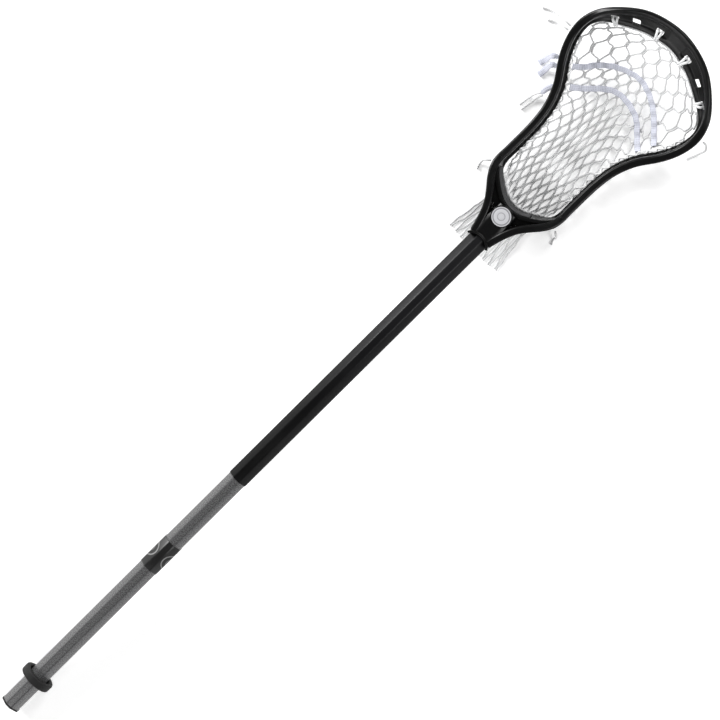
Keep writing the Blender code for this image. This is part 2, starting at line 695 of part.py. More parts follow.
def build_badge_and_screw():
    """The round badge on its boss and the screw at the back that holds the head on the shaft."""
    profile = ((0, 0), (0, BADGE_RADIUS), (BADGE_THICKNESS * 0.7, BADGE_RADIUS),
               (BADGE_THICKNESS, BADGE_RADIUS - 0.4 * MM), (BADGE_THICKNESS, 0))
    badge = turned("throat_badge", profile, finish("silver_badge", (0.72, 0.72, 0.78), 0.3, 0.3), 48)
    badge.rotation_euler.y = -math.pi / 2
    badge.location = (THROAT_X + BADGE_STATION, 0, BOSS_TOP + GAP)
    shank, top = SCREW_SHANK_RADIUS, SCREW_HEAD_RADIUS
    profile = ((0, 0), (0, top * 0.55), (SCREW_HEAD_HEIGHT * 0.45, top * 0.92), (SCREW_HEAD_HEIGHT, top),
               (SCREW_HEAD_HEIGHT, shank), (SCREW_HEAD_HEIGHT + SCREW_DEPTH, shank),
               (SCREW_HEAD_HEIGHT + SCREW_DEPTH + 2 * MM, 0))
    screw = turned("head_screw", profile, finish("zinc_steel", (0.5, 0.5, 0.52), 0.35, 1.0), 24)
    screw.rotation_euler.y = -math.pi / 2
    screw.location = (THROAT_X + SCREW_STATION, 0, -15.4 * MM - GAP - SCREW_HEAD_HEIGHT)


def build_mesh():
    """The mesh pocket as a plain sagging sheet, and the spare mesh that lies under the throat."""
    white = finish("white_mesh", (0.9, 0.9, 0.92), 0.8)
    rows = rail_rows(241)
    stations = THROAT_X + np.linspace(MESH_START, MESH_END, 30)
    across = np.sin(np.linspace(-1, 1, 17) * math.pi / 2)
    half = opening_half_width(stations, rows, MESH_CLEARANCE)
    x = np.repeat(stations[:, None], len(across), axis=1)
    y = half[:, None] * across
    z = mesh_height(x, y)
    top, bottom = (np.stack([x, y, z + side * MESH_THICKNESS / 2], axis=-1) for side in (1, -1))
    new_object("mesh_pocket", shell("mesh_pocket", top, bottom), white)
    stations = THROAT_X + np.linspace(TAIL_START, TAIL_END, 12)
    across = np.linspace(-1, 1, 9)
    half = np.linspace(TAIL_HALF_START, TAIL_HALF_END, len(stations))
    x = np.repeat(stations[:, None], len(across), axis=1)
    y = half[:, None] * across
    lift = np.clip((x - THROAT_X - TAIL_START / 2) / (TAIL_START / 2), 0, 1) ** 2 * TAIL_LIFT
    z = ground(x) + MESH_THICKNESS / 2 + GAP / 10 + lift
    top, bottom = (np.stack([x, y, z + side * MESH_THICKNESS / 2], axis=-1) for side in (1, -1))
    new_object("mesh_tail", shell("mesh_tail", top, bottom), white)


def build_held_strings():
    """The strings that hold the mesh to the head and the two laces across it."""
    white = finish("white_string", (0.92, 0.92, 0.94), 0.75)
    rows = rail_rows(241)
    _, low, _, _, _ = band_frames(rows)
    shelf = low + inward(rows) * SHELF_IN + np.array([0, 0, SHELF_UP])
    for name, side in (("sidewall_string_left", 1), ("sidewall_string_right", -1)):
        station = shelf[:, 0] - THROAT_X
        on_side = shelf[(shelf[:, 1] * side > 0) & (station > SIDEWALL_START) & (station < SIDEWALL_END)]
        cord(name, even_points(on_side, 30), STRING_DIAMETER, white, LIE)
    base = base_rows(61)[12:-12]
    off = base + off_base(base)[:, :2] * (STRING_DIAMETER / 2 + GAP)
    bottom = np.hstack([off, np.full((len(off), 1), BOTTOM_STRING_HEIGHT)])
    cord("bottom_string", even_points(bottom, 14), STRING_DIAMETER, white, LIE)
    cord("top_string", top_string_route(), STRING_DIAMETER, white, LIE)
    lace = finish("white_lace", (0.85, 0.85, 0.92), 0.8)
    for name, points in (("shooting_lace_upper", UPPER_LACE), ("shooting_lace_lower", LOWER_LACE)):
        plan = curve_through(np.array([(THROAT_X + s * MM, y * MM, 0) for s, y in points]), 40)
        x, y = plan[:, 0], plan[:, 1]
        ups = mesh_normals(x, y)
        path = np.stack([x, y, mesh_height(x, y)], axis=1) + ups * LACE_LIFT
        ribbon(name, path, ups, LACE_WIDTH, LACE_THICKNESS, lace, LIE)


def top_string_route():
    """Runs inside the scoop's edge and, at each strung hole, over the edge, through the hole and back."""
    rows = rail_rows(241)
    _, low, down, out, _ = band_frames(rows)
    edge = low + down * (LOW_BEAD + TOP_RUN_OFFSET)
    runs = edge[(np.abs(edge[:, 1]) < TOP_RUN_HALF) & (edge[:, 0] > THROAT_X + SCOOP_START)]
    route = []
    at = {place: frame for place, frame in hole_frames().items() if abs(place) != BARE_HOLE[0]}
    stops = [(-TOP_RUN_HALF, None), *[(place, at[place]) for place in sorted(at)], (TOP_RUN_HALF, None)]
    for (place, frame), (following, _) in zip(stops, [*stops[1:], (None, None)]):
        if frame is not None:
            route += loop_points(*frame)
        if following is not None:
            between = runs[(runs[:, 1] > place + TOP_RUN_GAP) & (runs[:, 1] < following - TOP_RUN_GAP)]
            route += list(between[:: max(1, len(between) // 4)])
    return smooth_route(route, 80)


def loop_points(centre, along, down, normal, bead):
    """One turn over the scoop's edge: up one face, through the hole and back down the other face."""
    along = along * np.sign(along[1])
    places = ((bead + down * (LOW_BEAD + 3.8 * MM), 3.2 * MM, 1.4 * MM),
              (bead + down * (LOW_BEAD + 2.2 * MM), 2.8 * MM, LOOP_OFFSET * 0.75),
              (centre * 0.3 + bead * 0.7, 2.2 * MM, LOOP_OFFSET),
              (centre, 1.0 * MM, LOOP_OFFSET * 0.8))
    first, second = ([p + side * (along * reach + normal * off) for p, reach, off in places]
                     for side in (-1, 1))
    return [*first, centre, *second[::-1]]


def smooth_route(route, count):
    """Evenly spaced points, by length in space, of a smooth curve through a route's points."""
    dense = curve_through(np.array(route), 2000)
    along = np.concatenate([[0], np.cumsum(np.linalg.norm(np.diff(dense, axis=0), axis=1))])
    even = np.linspace(0, along[-1], count)
    return np.stack([np.interp(even, along, dense[:, k]) for k in range(3)], axis=1)


# The laces across the mesh, in millimetres: station, distance to the left
UPPER_LACE = ((196, 57.5), (203, 51), (210.5, 45.6), (223.8, 31.5), (231.1, 17.5), (235.3, -0.5),
              (230, -18.5), (221, -32.5), (211.8, -42.6), (202.9, -51.6), (197.5, -57))
LOWER_LACE = ((177.5, 46), (185.8, 35.7), (197.9, 23.6), (206.1, 11.6), (208.2, -0.5), (206.3, -14.5),
              (201.2, -26.6), (192.2, -36.7), (184.4, -44.8), (180, -49.3))

# Loose ends, in millimetres from the throat's mouth, to the left of the axis, and above the ground
LOOSE_ENDS = {
    "top_string_tail_long": ((223, 90, 34), (223, 96, 34), (223, 103, 28), (222, 108, 17), (220.5, 113, 6),
                             (218, 119, 1.7), (214, 126, 1.6)),
    "top_string_tail_short": ((218, 89.6, 31), (217.5, 94, 30), (217, 98, 23), (216, 100.5, 12),
                              (214.5, 103, 3.4), (212, 108, 1.6), (209, 113, 1.6)),
    "lower_lace_tail_left": ((151.5, 64, 14.5), (148, 66.5, 10.5), (144, 68.3, 5), (139, 69.6, 2),
                             (133, 70.6, 1.6), (126, 71.6, 1.6)),
    "lower_lace_tail_right": ((150.5, 61, 14), (147.5, 62.6, 10), (143, 63.9, 4.5), (137.5, 64.8, 1.9),
                              (131, 65.7, 1.6), (123.5, 66.8, 1.6)),
    "sidewall_string_tail_left": ((66, 50.6, 24), (63, 54, 23), (60, 56.5, 17), (57, 57.4, 8),
                                  (53, 57.2, 1.8), (47, 55.5, 1.6)),
    "sidewall_string_tail_right": ((62, -49.4, 25), (59, -52.5, 24), (57, -54, 18), (55, -54, 9),
                                   (51.5, -53.4, 2), (46.5, -56, 1.6)),
    "top_string_tail_right": ((236, -90.6, 34), (236, -94.4, 33), (233, -98, 26), (229, -98.5, 15),
                              (224, -97, 5), (218, -95, 1.6), (210, -92, 1.6)),
}
LACE_ENDS = {
    "upper_lace_tail_front": ((190.5, 76.5, 24), (189.5, 79.5, 27), (187.5, 82.5, 26), (184.5, 84.5, 18),
                              (181, 85.5, 8), (177, 86.5, 2.2), (171, 88, 1.6)),
    "upper_lace_tail_back": ((183, 71.5, 22), (181.8, 74.5, 25), (179.5, 77, 24), (176.5, 78, 16),
                             (173, 78.3, 7), (169, 78.8, 2), (162, 79.6, 1.6)),
}
LACE_END_UP = (-0.5, 0.2, 1.0)
KNOT_AT = (159.6, 62.6, 17.5)
KNOT_RADII = (6.6 * MM, 3.6 * MM, 3.2 * MM)


def build_loose_ends():
    """String and lace ends that leave the rails and lie on the ground, and the lower lace's knot."""
    white = finish("white_tail", (0.92, 0.92, 0.94), 0.75)
    for name, points in LOOSE_ENDS.items():
        cord(name, smooth_route([from_throat(p) for p in points], 14), STRING_DIAMETER, white)
    for name, points in LACE_ENDS.items():
        path = smooth_route([from_throat(p) for p in points], 16)
        ups = np.tile(LACE_END_UP, (len(path), 1))
        ribbon(name, path, ups, LACE_WIDTH, LACE_THICKNESS, white, None)
    knot = bpy.data.meshes.new("lower_lace_knot")
    bm = bmesh.new()
    bmesh.ops.create_uvsphere(bm, u_segments=12, v_segments=8, radius=1.0)
    bm.to_mesh(knot)
    bm.free()
    ob = new_object("lower_lace_knot", knot, white)
    ob.parent = None
    ob.scale = KNOT_RADII
    ob.location = from_throat(KNOT_AT)


def from_throat(place):
    """A place given from the throat's mouth and the ground, in world coordinates."""
    station, left, height = place
    return ((THROAT_X + station * MM) * math.cos(LIE_ANGLE) - CENTRE_X, left * MM, height * MM)


def main():
    build_shaft()
    sleeve("grip_sleeve", GRIP_START, GRIP_END, GRIP_WALL, finish("charcoal_grip", (0.02, 0.02, 0.024), 0.55))
    sleeve("decal_band", BAND_START, BAND_END, BAND_WALL, finish("black_film", (0.015, 0.015, 0.017), 0.4))
    build_butt_cap()
    build_butt_ring()
    build_head()
    build_ball_stop()
    build_badge_and_screw()
    build_mesh()
    build_held_strings()
    build_loose_ends()


for leftover in list(bpy.data.objects):
    bpy.data.objects.remove(leftover)
STICK = bpy.data.collections.new("lacrosse_stick")
CUTTERS = bpy.data.collections.new("cutters")
for collection in (STICK, CUTTERS):
    bpy.context.scene.collection.children.link(collection)
LIE = bpy.data.objects.new("lie_on_ground", None)
STICK.objects.link(LIE)
LIE.rotation_euler.y = -LIE_ANGLE
LIE.location = (-CENTRE_X, 0, LIE_HEIGHT)
main()
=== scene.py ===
"""Looks of a lacrosse stick: its finished surfaces, materials, strings and mesh on the CAD frame.

Every piece is laid out along the shaft's own axis, with x from the butt end to the scoop, y to the left and z
out of the open face, and then laid on the ground with the CAD's own turn. Loose ends are given from the throat
and the ground.
"""

import math

import bmesh
import bpy
import numpy as np
from bpy.props import FloatProperty, FloatVectorProperty, IntProperty, PointerProperty
from mathutils import Matrix, Vector


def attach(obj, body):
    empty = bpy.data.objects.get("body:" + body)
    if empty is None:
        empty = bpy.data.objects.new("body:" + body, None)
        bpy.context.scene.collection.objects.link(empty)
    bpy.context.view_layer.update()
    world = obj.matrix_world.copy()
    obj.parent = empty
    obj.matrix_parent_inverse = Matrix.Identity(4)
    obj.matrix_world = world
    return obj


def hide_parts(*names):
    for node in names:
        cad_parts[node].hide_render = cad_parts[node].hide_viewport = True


bl_info = {
    "name": "Lacrosse stick looks",
    "version": (1, 0, 0),
    "blender": (4, 5, 0),
    "location": "View3D > Sidebar > Lacrosse",
    "description": "Builds the visual model of a lacrosse stick on its CAD frame",
    "category": "Object",
}

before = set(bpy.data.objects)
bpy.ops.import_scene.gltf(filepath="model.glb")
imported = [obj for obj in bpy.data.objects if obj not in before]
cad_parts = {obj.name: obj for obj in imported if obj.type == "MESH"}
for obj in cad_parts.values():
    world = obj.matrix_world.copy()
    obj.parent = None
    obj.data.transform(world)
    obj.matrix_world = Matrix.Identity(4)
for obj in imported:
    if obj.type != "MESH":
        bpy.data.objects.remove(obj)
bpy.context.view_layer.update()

MM = 0.001
TAU = 2 * math.pi

# The CAD's own driving sizes, in metres
SHAFT_LENGTH = 0.762
SHAFT_HALF_WIDTH = 0.01075
SHAFT_HALF_DEPTH = 0.0125
SHAFT_FRONT_FLAT = 0.0068
SHAFT_SIDE_FLAT = 0.011
SHAFT_WALL = 0.0013
THROAT_X = 0.717
RING_X = 0.0414
RING_LENGTH = 0.0095
RING_RADIUS = 0.0185
RING_CHAMFER = 0.0015
LIE_ANGLE = math.asin((0.046 - RING_RADIUS) / (THROAT_X + 0.115 - RING_X))
RING_CONTACT_X = RING_X - RING_LENGTH / 2 + RING_CHAMFER
LIE_HEIGHT = RING_RADIUS * math.cos(LIE_ANGLE) - RING_CONTACT_X * math.sin(LIE_ANGLE)
CENTRE_X = 0.509
LAID = Matrix.Translation((-CENTRE_X, 0, LIE_HEIGHT)) @ Matrix.Rotation(-LIE_ANGLE, 4, "Y")

RAIL_HALF = 0.0042
RAIL_LEAN = 0.0025
WEB_HALF = 0.0017
TOP_BEAD = 0.003
LOW_BEAD = 0.0035
SCOOP_HALF = 0.0024
SCOOP_LEAN = 0.017

# One half of the rail in millimetres: station from the throat, half width, upper and lower edge over the axis
OUTLINE = (
    (303.5, 0.0, 33.0, 12.0),
    (299.8, 25.0, 32.0, 11.0),
    (291.8, 45.0, 29.5, 8.5),
    (277.6, 63.9, 24.0, 3.5),
    (259.6, 80.0, 16.0, -5.0),
    (243.6, 86.8, 10.0, -13.5),
    (229.8, 88.2, 6.0, -20.0),
    (214.0, 85.6, 2.5, -25.5),
    (199.5, 80.0, 0.5, -29.0),
    (188.4, 73.8, -1.0, -31.5),
    (168.2, 60.6, -2.2, -35.0),
    (147.7, 52.8, -2.0, -37.5),
    (126.2, 49.7, -0.5, -38.5),
    (90.0, 49.1, 6.0, -38.5),
    (75.0, 49.2, 9.5, -37.0),
    (65.6, 47.0, 11.5, -35.5),
    (54.8, 40.6, 13.5, -32.0),
    (45.0, 32.4, 14.8, -27.5),
    (34.9, 25.0, 15.3, -22.5),
    (24.6, 20.3, 15.4, -18.0),
    (14.4, 17.0, 15.2, -15.8),
    (4.5, 14.6, 15.0, -15.0),
)
BASE_LINE = ((47.9, 0.0), (50.3, 11.9), (57.2, 24.0), (64.4, 33.4), (72.5, 40.2), (80.0, 43.4))

# The shaft socket's outside in millimetres: station, half width, half depth
SOCKET = ((0.0, 12.9, 14.6), (3.0, 13.4, 15.2), (12.0, 14.2, 15.4), (22.0, 15.4, 15.4), (34.0, 13.4, 15.2),
          (45.5, 13.0, 14.8))

# Scoop holes: distance from the middle in millimetres, and how far down the band they sit
STRUNG_HOLES = ((19.7, 0.74), (63.3, 0.72))
BARE_HOLES = ((43.8, 0.72),)
# Where the sidewall's windows start and end, and how far their ends slant, in millimetres
WINDOWS = ((92, 120), (128, 158), (166, 200))
WINDOW_SLANT = 5.0
SIDEWALL_LACED = (0.088, 0.226)
STRING_HOLES = (86, 106, 124, 143, 162, 183, 205)

# The mesh's hang in millimetres, as (station, value): its edge's height, its bag's depth, its half width
RIM = ((52, -33), (84, -35), (125, -35), (160, -32.5), (190, -28), (215, -22), (235, -14.5), (250, -7),
       (266, 1.5),
       (281, 8.5))
BAG = ((52, 0), (64, 9), (84, 16), (110, 20), (150, 20), (190, 16), (225, 12), (255, 6), (281, 0))
HALF = ((48, 2), (56, 20), (64, 31), (72, 35), (84, 36), (124, 37), (140, 39), (156, 44), (172, 51),
        (186, 60),
        (204, 69), (220, 74), (237, 76), (248, 72), (261, 57), (274, 33), (282, 5))

# Rows of the mesh, in half cells from the scoop: row, station of the middle, station and distance of the edge
MESH_ROWS = (
    (0, 280, 250, 69), (1, 274.5, 243, 74), (2, 262, 233, 76), (3, 248, 213, 72.5), (4, 235.3, 191.5, 61.5),
    (5, 223, 182, 55), (6, 213, 176, 52), (7, 203.5, 171, 50.5), (8, 193.7, 167, 49), (9, 180.3, 159, 46),
    (10, 168.8, 151.5, 43.5), (11, 155.6, 142, 41.5), (12, 140.5, 132, 40), (13, 128, 121.5, 39),
    (14, 114.7, 111, 38.3), (15, 100.2, 100.5, 37.6), (16, 90, 92.5, 37), (17, 79, 84, 36.3),
             (18, 68, 76, 35.3),
    (19, 57.5, 67, 33.8), (20, 47.5, 57, 30.5), (21, 33, 43, 28), (22, 15, 27, 28.5), (24, -18, -16, 35),
)

# The laces across the mesh in millimetres: station, distance to the left
UPPER_LACE = ((193.5, 61.5), (197.5, 56.5), (203, 51), (210.5, 45.6), (223.8, 31.5), (231.1, 17.5),
              (235.3, -0.5),
              (230, -18.5), (221, -32.5), (211.8, -42.6), (202.9, -51.6), (195.5, -59))
LOWER_LACE = ((175.5, 48.5), (178.5, 44.5), (185.8, 35.7), (197.9, 23.6), (206.1, 11.6), (208.2, -0.5),
              (206.3, -14.5),
              (201.2, -26.6), (192.2, -36.7), (184.4, -44.8), (178.5, -51.5))

# Loose ends in millimetres: station from the throat's mouth, distance to the left, height above the ground
STRING_ENDS = {
    "top_string_tail_long": ((223, 90, 34), (223, 96, 34), (223, 103, 28), (222, 108, 17), (220.5, 113, 6),
                             (218, 119, 1.7), (214, 126, 1.6)),
    "top_string_tail_short": ((218, 89.6, 31), (217.5, 94, 30), (217, 98, 23), (216, 100.5, 12),
                              (214.5, 103, 3.4),
                              (212, 108, 1.6), (209, 113, 1.6)),
    "lower_lace_tail_left": ((151.5, 64, 14.5), (148, 66.5, 10.5), (144, 68.3, 5), (139, 69.6, 2),
                             (133, 70.6, 1.6),
                             (126, 71.6, 1.6)),
    "lower_lace_tail_right": ((150.5, 61, 14), (147.5, 62.6, 10), (143, 63.9, 4.5), (137.5, 64.8, 1.9),
                              (131, 65.7, 1.6),
                              (123.5, 66.8, 1.6)),
    "sidewall_string_tail_left": ((66, 50.6, 24), (63, 54, 23), (60, 56.5, 17), (57, 57.4, 8),
                                  (53, 57.2, 1.8),
                                  (47, 55.5, 1.6)),
    "sidewall_string_tail_right": ((62, -49.4, 25), (59, -52.5, 24), (57, -54, 18), (55, -54, 9),
                                   (51.5, -53.4, 2),
                                   (46.5, -56, 1.6)),
    "top_string_tail_right": ((236, -90.6, 34), (236, -94.4, 33), (233, -98, 26), (229, -98.5, 15),
                              (224, -97, 5), (218, -95, 1.6), (210, -92, 1.6)),
}
LACE_ENDS = {
    "upper_lace_tail_front": ((190.5, 76.5, 24), (189.5, 79.5, 27), (187.5, 82.5, 26), (184.5, 84.5, 18),
                              (181, 85.5, 8),
                              (177, 86.5, 2.2), (171, 88, 1.6)),
    "upper_lace_tail_back": ((183, 71.5, 22), (181.8, 74.5, 25), (179.5, 77, 24), (176.5, 78, 16),
                             (173, 78.3, 7),
                             (169, 78.8, 2), (162, 79.6, 1.6)),
}
KNOT_PATH = ((167, 59.4, 20.5), (161, 61.8, 18.2), (156, 63.2, 16), (151.5, 63.4, 14.2))


# ---------------------------------------------------------------- lines and surfaces


def curve_through(points, count, in_space=False):
    """Evenly spaced points of a smooth curve through given points.

    The curve is a centripetal Catmull-Rom spline; the spacing is even in plan, or in space.
    """
    p = np.array(points, float)
    p = np.vstack([2 * p[0] - p[1], p, 2 * p[-1] - p[-2]])
    gap = np.sqrt(np.linalg.norm(np.diff(p, axis=0), axis=1))
    a, b, c, d = p[:-3, None], p[1:-2, None], p[2:-1, None], p[3:, None]
    t1, t2 = gap[:-2, None, None], (gap[:-2] + gap[1:-1])[:, None, None]
    t3 = t2 + gap[2:, None, None]
    t = t1 + (t2 - t1) * np.linspace(0, 1, 24, endpoint=False)[None, :, None]
    ab, bc, cd = a + (b - a) * t / t1, b + (c - b) * (t - t1) / (t2 - t1), c + (d - c) * (t - t2) / (t3 - t2)
    abc, bcd = ab + (bc - ab) * t / t2, bc + (cd - bc) * (t - t1) / (t3 - t1)
    dense = np.vstack([(abc + (bcd - abc) * (t - t1) / (t2 - t1)).reshape(-1, p.shape[1]), p[-2:-1]])
    return spaced(dense, count, 3 if in_space else 2)


def spaced(dense, count, dimensions=3):
    """The same line with evenly spaced points."""
    step = np.linalg.norm(np.diff(dense[:, :dimensions], axis=0), axis=1)
    along = np.concatenate([[0], np.cumsum(step)])
    even = np.linspace(0, along[-1], count)
    return np.stack([np.interp(even, along, column) for column in dense.T], axis=1)


def unit(vectors):
    return vectors / np.maximum(np.linalg.norm(vectors, axis=-1, keepdims=True), 1e-12)


def smooth(x, start, end):
    """0 before the start, 1 after the end, with a smooth change between."""
    t = np.clip((x - start) / (end - start), 0, 1)
    return t * t * (3 - 2 * t)


def arc_length(path):
    return np.concatenate([[0], np.cumsum(np.linalg.norm(np.diff(path, axis=0), axis=1))])


def from_throat(points):
    """Places given from the throat's mouth and the ground, as world points."""
    p = np.atleast_2d(np.array(points, float)) * MM
    return np.stack([(THROAT_X + p[:, 0]) * math.cos(LIE_ANGLE) - CENTRE_X, p[:, 1], p[:, 2]], axis=1)


def ground(x):
    """Height of the ground in the stick's own frame."""
    return -(LIE_HEIGHT + x * math.sin(LIE_ANGLE)) / math.cos(LIE_ANGLE)


def surface(name, points, material, closed_along=False, capped=True, world=False, sharp=40):
    """One object from grids of points: tubes, rows along each, points around each row.

    Every row closes on itself, and the ends are capped or the rows close in a loop. The texture coordinates are
    the metres along and around the surface.
    """
    grids = np.array(points, float)
    grids = grids[None] if grids.ndim == 3 else grids
    tubes, rows, ring = grids.shape[:3]
    along = rows if closed_along else rows - 1
    t, i, j = np.meshgrid(np.arange(tubes), np.arange(along), np.arange(ring), indexing="ij")
    corners = ((i, j), (i, j + 1), (i + 1, j + 1), (i + 1, j))
    quads = np.stack([t * rows * ring + (a % rows) * ring + b % ring for a, b in corners],
                     axis=-1).reshape(-1, 4)
    looped = np.concatenate([grids, grids[:, :1]], axis=1)
    length = np.cumsum(np.linalg.norm(np.diff(looped, axis=1), axis=-1).mean(axis=2), axis=1)
    length = np.concatenate([np.zeros((tubes, 1)), length], axis=1)
    girth = np.linalg.norm(np.diff(np.concatenate([grids, grids[:, :, :1]], axis=2), axis=2),
                           axis=-1).mean(axis=1)
    girth = np.concatenate([np.zeros((tubes, 1)), np.cumsum(girth, axis=1)], axis=1)
    uv = np.stack([np.stack([length[t, a], girth[t, b]], axis=-1) for a, b in corners],
                  axis=-2).reshape(-1, 2)
    loops, starts, totals = [quads.ravel()], [np.arange(len(quads)) * 4], [np.full(len(quads), 4)]
    if capped and not closed_along:
        first = np.arange(tubes)[:, None] * rows * ring + np.arange(ring)
        caps = np.vstack([first[:, ::-1], first + (rows - 1) * ring])
        loops.append(caps.ravel())
        starts.append(len(quads) * 4 + np.arange(len(caps)) * ring)
        totals.append(np.full(len(caps), ring))
        uv = np.vstack([uv, np.zeros((caps.size, 2))])
    mesh = bpy.data.meshes.new(name)
    vertices = grids.reshape(-1, 3)
    mesh.vertices.add(len(vertices))
    mesh.vertices.foreach_set("co", vertices.ravel().astype(np.float32))
    loops = np.concatenate(loops)
    mesh.loops.add(len(loops))
    mesh.loops.foreach_set("vertex_index", loops.astype(np.int32))
    mesh.polygons.add(sum(map(len, starts)))
    mesh.polygons.foreach_set("loop_start", np.concatenate(starts).astype(np.int32))
    mesh.update(calc_edges=True)
    mesh.uv_layers.new(name="metres").data.foreach_set("uv", uv.ravel().astype(np.float32))
    return placed(name, mesh, material, world, sharp)


def placed(name, mesh, material, world=False, sharp=40):
    """Welds a mesh, turns its faces outwards, lays it on the ground and links it at the origin."""
    bm = bmesh.new()
    bm.from_mesh(mesh)
    bmesh.ops.remove_doubles(bm, verts=bm.verts, dist=1e-7)
    bmesh.ops.recalc_face_normals(bm, faces=bm.faces)
    bm.to_mesh(mesh)
    bm.free()
    if not world:
        mesh.transform(LAID)
    mesh.materials.append(material)
    mesh.shade_smooth()
    mesh.set_sharp_from_angle(angle=math.radians(sharp))
    ob = bpy.data.objects.new(name, mesh)
    bpy.context.scene.collection.objects.link(ob)
    return ob


def carried(path, up, profile):
    """A profile of (sideways, upward) points carried along paths, square to them.

    With T the unit tangent, S = T x up and U = S x T, each point is path + a S + b U.
    """
    tangent = unit(np.gradient(path, axis=-2))
    side = unit(np.cross(tangent, up))
    lift = np.cross(side, tangent)
    a, b = profile[..., 0, None], profile[..., 1, None]
    return path[..., None, :] + side[..., None, :] * a + lift[..., None, :] * b


def circle(radius, sides):
    """Points of a circle, one for each radius given, as (sideways, upward)."""
    angle = np.arange(sides) / sides * TAU
    return np.asarray(radius)[..., None, None] * np.stack([np.cos(angle), np.sin(angle)], axis=-1)


def turned(profile, steps, axis="x"):
    """A closed profile of (axial, radius) turned about an axis: rows round it, points round the profile."""
    p = np.array(profile, float)
    angle = np.arange(steps) / steps * TAU
    axial = np.broadcast_to(p[:, 0], (steps, len(p)))
    c, s = np.cos(angle)[:, None] * p[:, 1], np.sin(angle)[:, None] * p[:, 1]
    return np.stack([axial, c, s] if axis == "x" else [c, s, axial], axis=-1)


def softened(corners, radius, steps=6):
    """A closed outline of flat sides with softened corners.

    Each corner is replaced by points of the parabola between the two places a radius away from it.
    """
    p = np.array(corners, float)
    before = p + unit(np.roll(p, 1, axis=0) - p) * radius
    after = p + unit(np.roll(p, -1, axis=0) - p) * radius
    t = np.linspace(0, 1, steps)[None, :, None]
    bend = (1 - t) ** 2 * before[:, None] + 2 * t * (1 - t) * p[:, None] + t * t * after[:, None]
    return bend.reshape(-1, 2)


def octagon(offset=0.0, corner=0.0013):
    """The shaft's outline of eight flats in y and z, moved outwards by an offset, with softened corners."""
    hw, hd = SHAFT_HALF_WIDTH, SHAFT_HALF_DEPTH
    slant = np.array([hd - SHAFT_SIDE_FLAT / 2, hw - SHAFT_FRONT_FLAT / 2])
    slant /= np.linalg.norm(slant)
    reach = slant[0] * hw + slant[1] * SHAFT_SIDE_FLAT / 2 + offset
    w, d = hw + offset, hd + offset
    y, z = (reach - slant[1] * d) / slant[0], (reach - slant[0] * w) / slant[1]
    return softened([(w, z), (y, d), (-y, d), (-w, z), (-w, -z), (-y, -d), (y, -d), (w, -z)], corner)


def tube_wall(name, stations, material, corner=0.0013):
    """A closed wall round the shaft: rows of (x, offset from the shaft's outline) carried round in a loop."""
    rows = [np.column_stack([np.full(48, x), octagon(offset, corner)]) for x, offset in stations]
    return surface(name, np.array(rows), material, closed_along=True)


# ---------------------------------------------------------------- the head's lines


def mirrored(half):
    """A half line from the middle plane outwards, joined to its mirror image: right end, middle, left end."""
    return np.vstack([(half * np.array([1, -1, 1, 1])[: half.shape[1]])[:0:-1], half])


def rail_rows(count):
    """The rail as rows of x, y, upper and lower height, from the right of the throat round to the left."""
    return curve_through(mirrored(np.array(OUTLINE) * MM + np.array([THROAT_X, 0, 0, 0])), count)


def base_rows(count):
    """The base wall's inner face in plan as rows of x, y, from right to left."""
    return curve_through(mirrored(np.array(BASE_LINE) * MM + np.array([THROAT_X, 0])), count)


def inward(rows):
    """Unit vectors square to the rail in plan, pointing into the head's opening."""
    step = unit(np.gradient(rows[:, :2], axis=0))
    return np.stack([-step[:, 1], step[:, 0], np.zeros(len(rows))], axis=1)


def band_frames(rows):
    """The band's upper and lower bead lines, the way down it, its outward normal, height and scoop share."""
    share = smooth(rows[:, :1], THROAT_X + 0.235, THROAT_X + 0.300)
    into = inward(rows)
    edge = RAIL_HALF + 0.0003 - share * (RAIL_HALF - SCOOP_HALF)
    lean = RAIL_LEAN + share * (SCOOP_LEAN - RAIL_LEAN)
    top = np.hstack([rows[:, :2], rows[:, 2:3] - TOP_BEAD]) + into * edge
    low = np.hstack([rows[:, :2], rows[:, 3:4] + LOW_BEAD]) + into * (edge + lean)
    height = np.linalg.norm(low - top, axis=1)[:, None]
    down = (low - top) / height
    across = (down * into).sum(1)[:, None]
    out = -into * np.sqrt(1 - across**2) - np.array([0, 0, 1.0]) * across
    return top, low, down, out, height, share


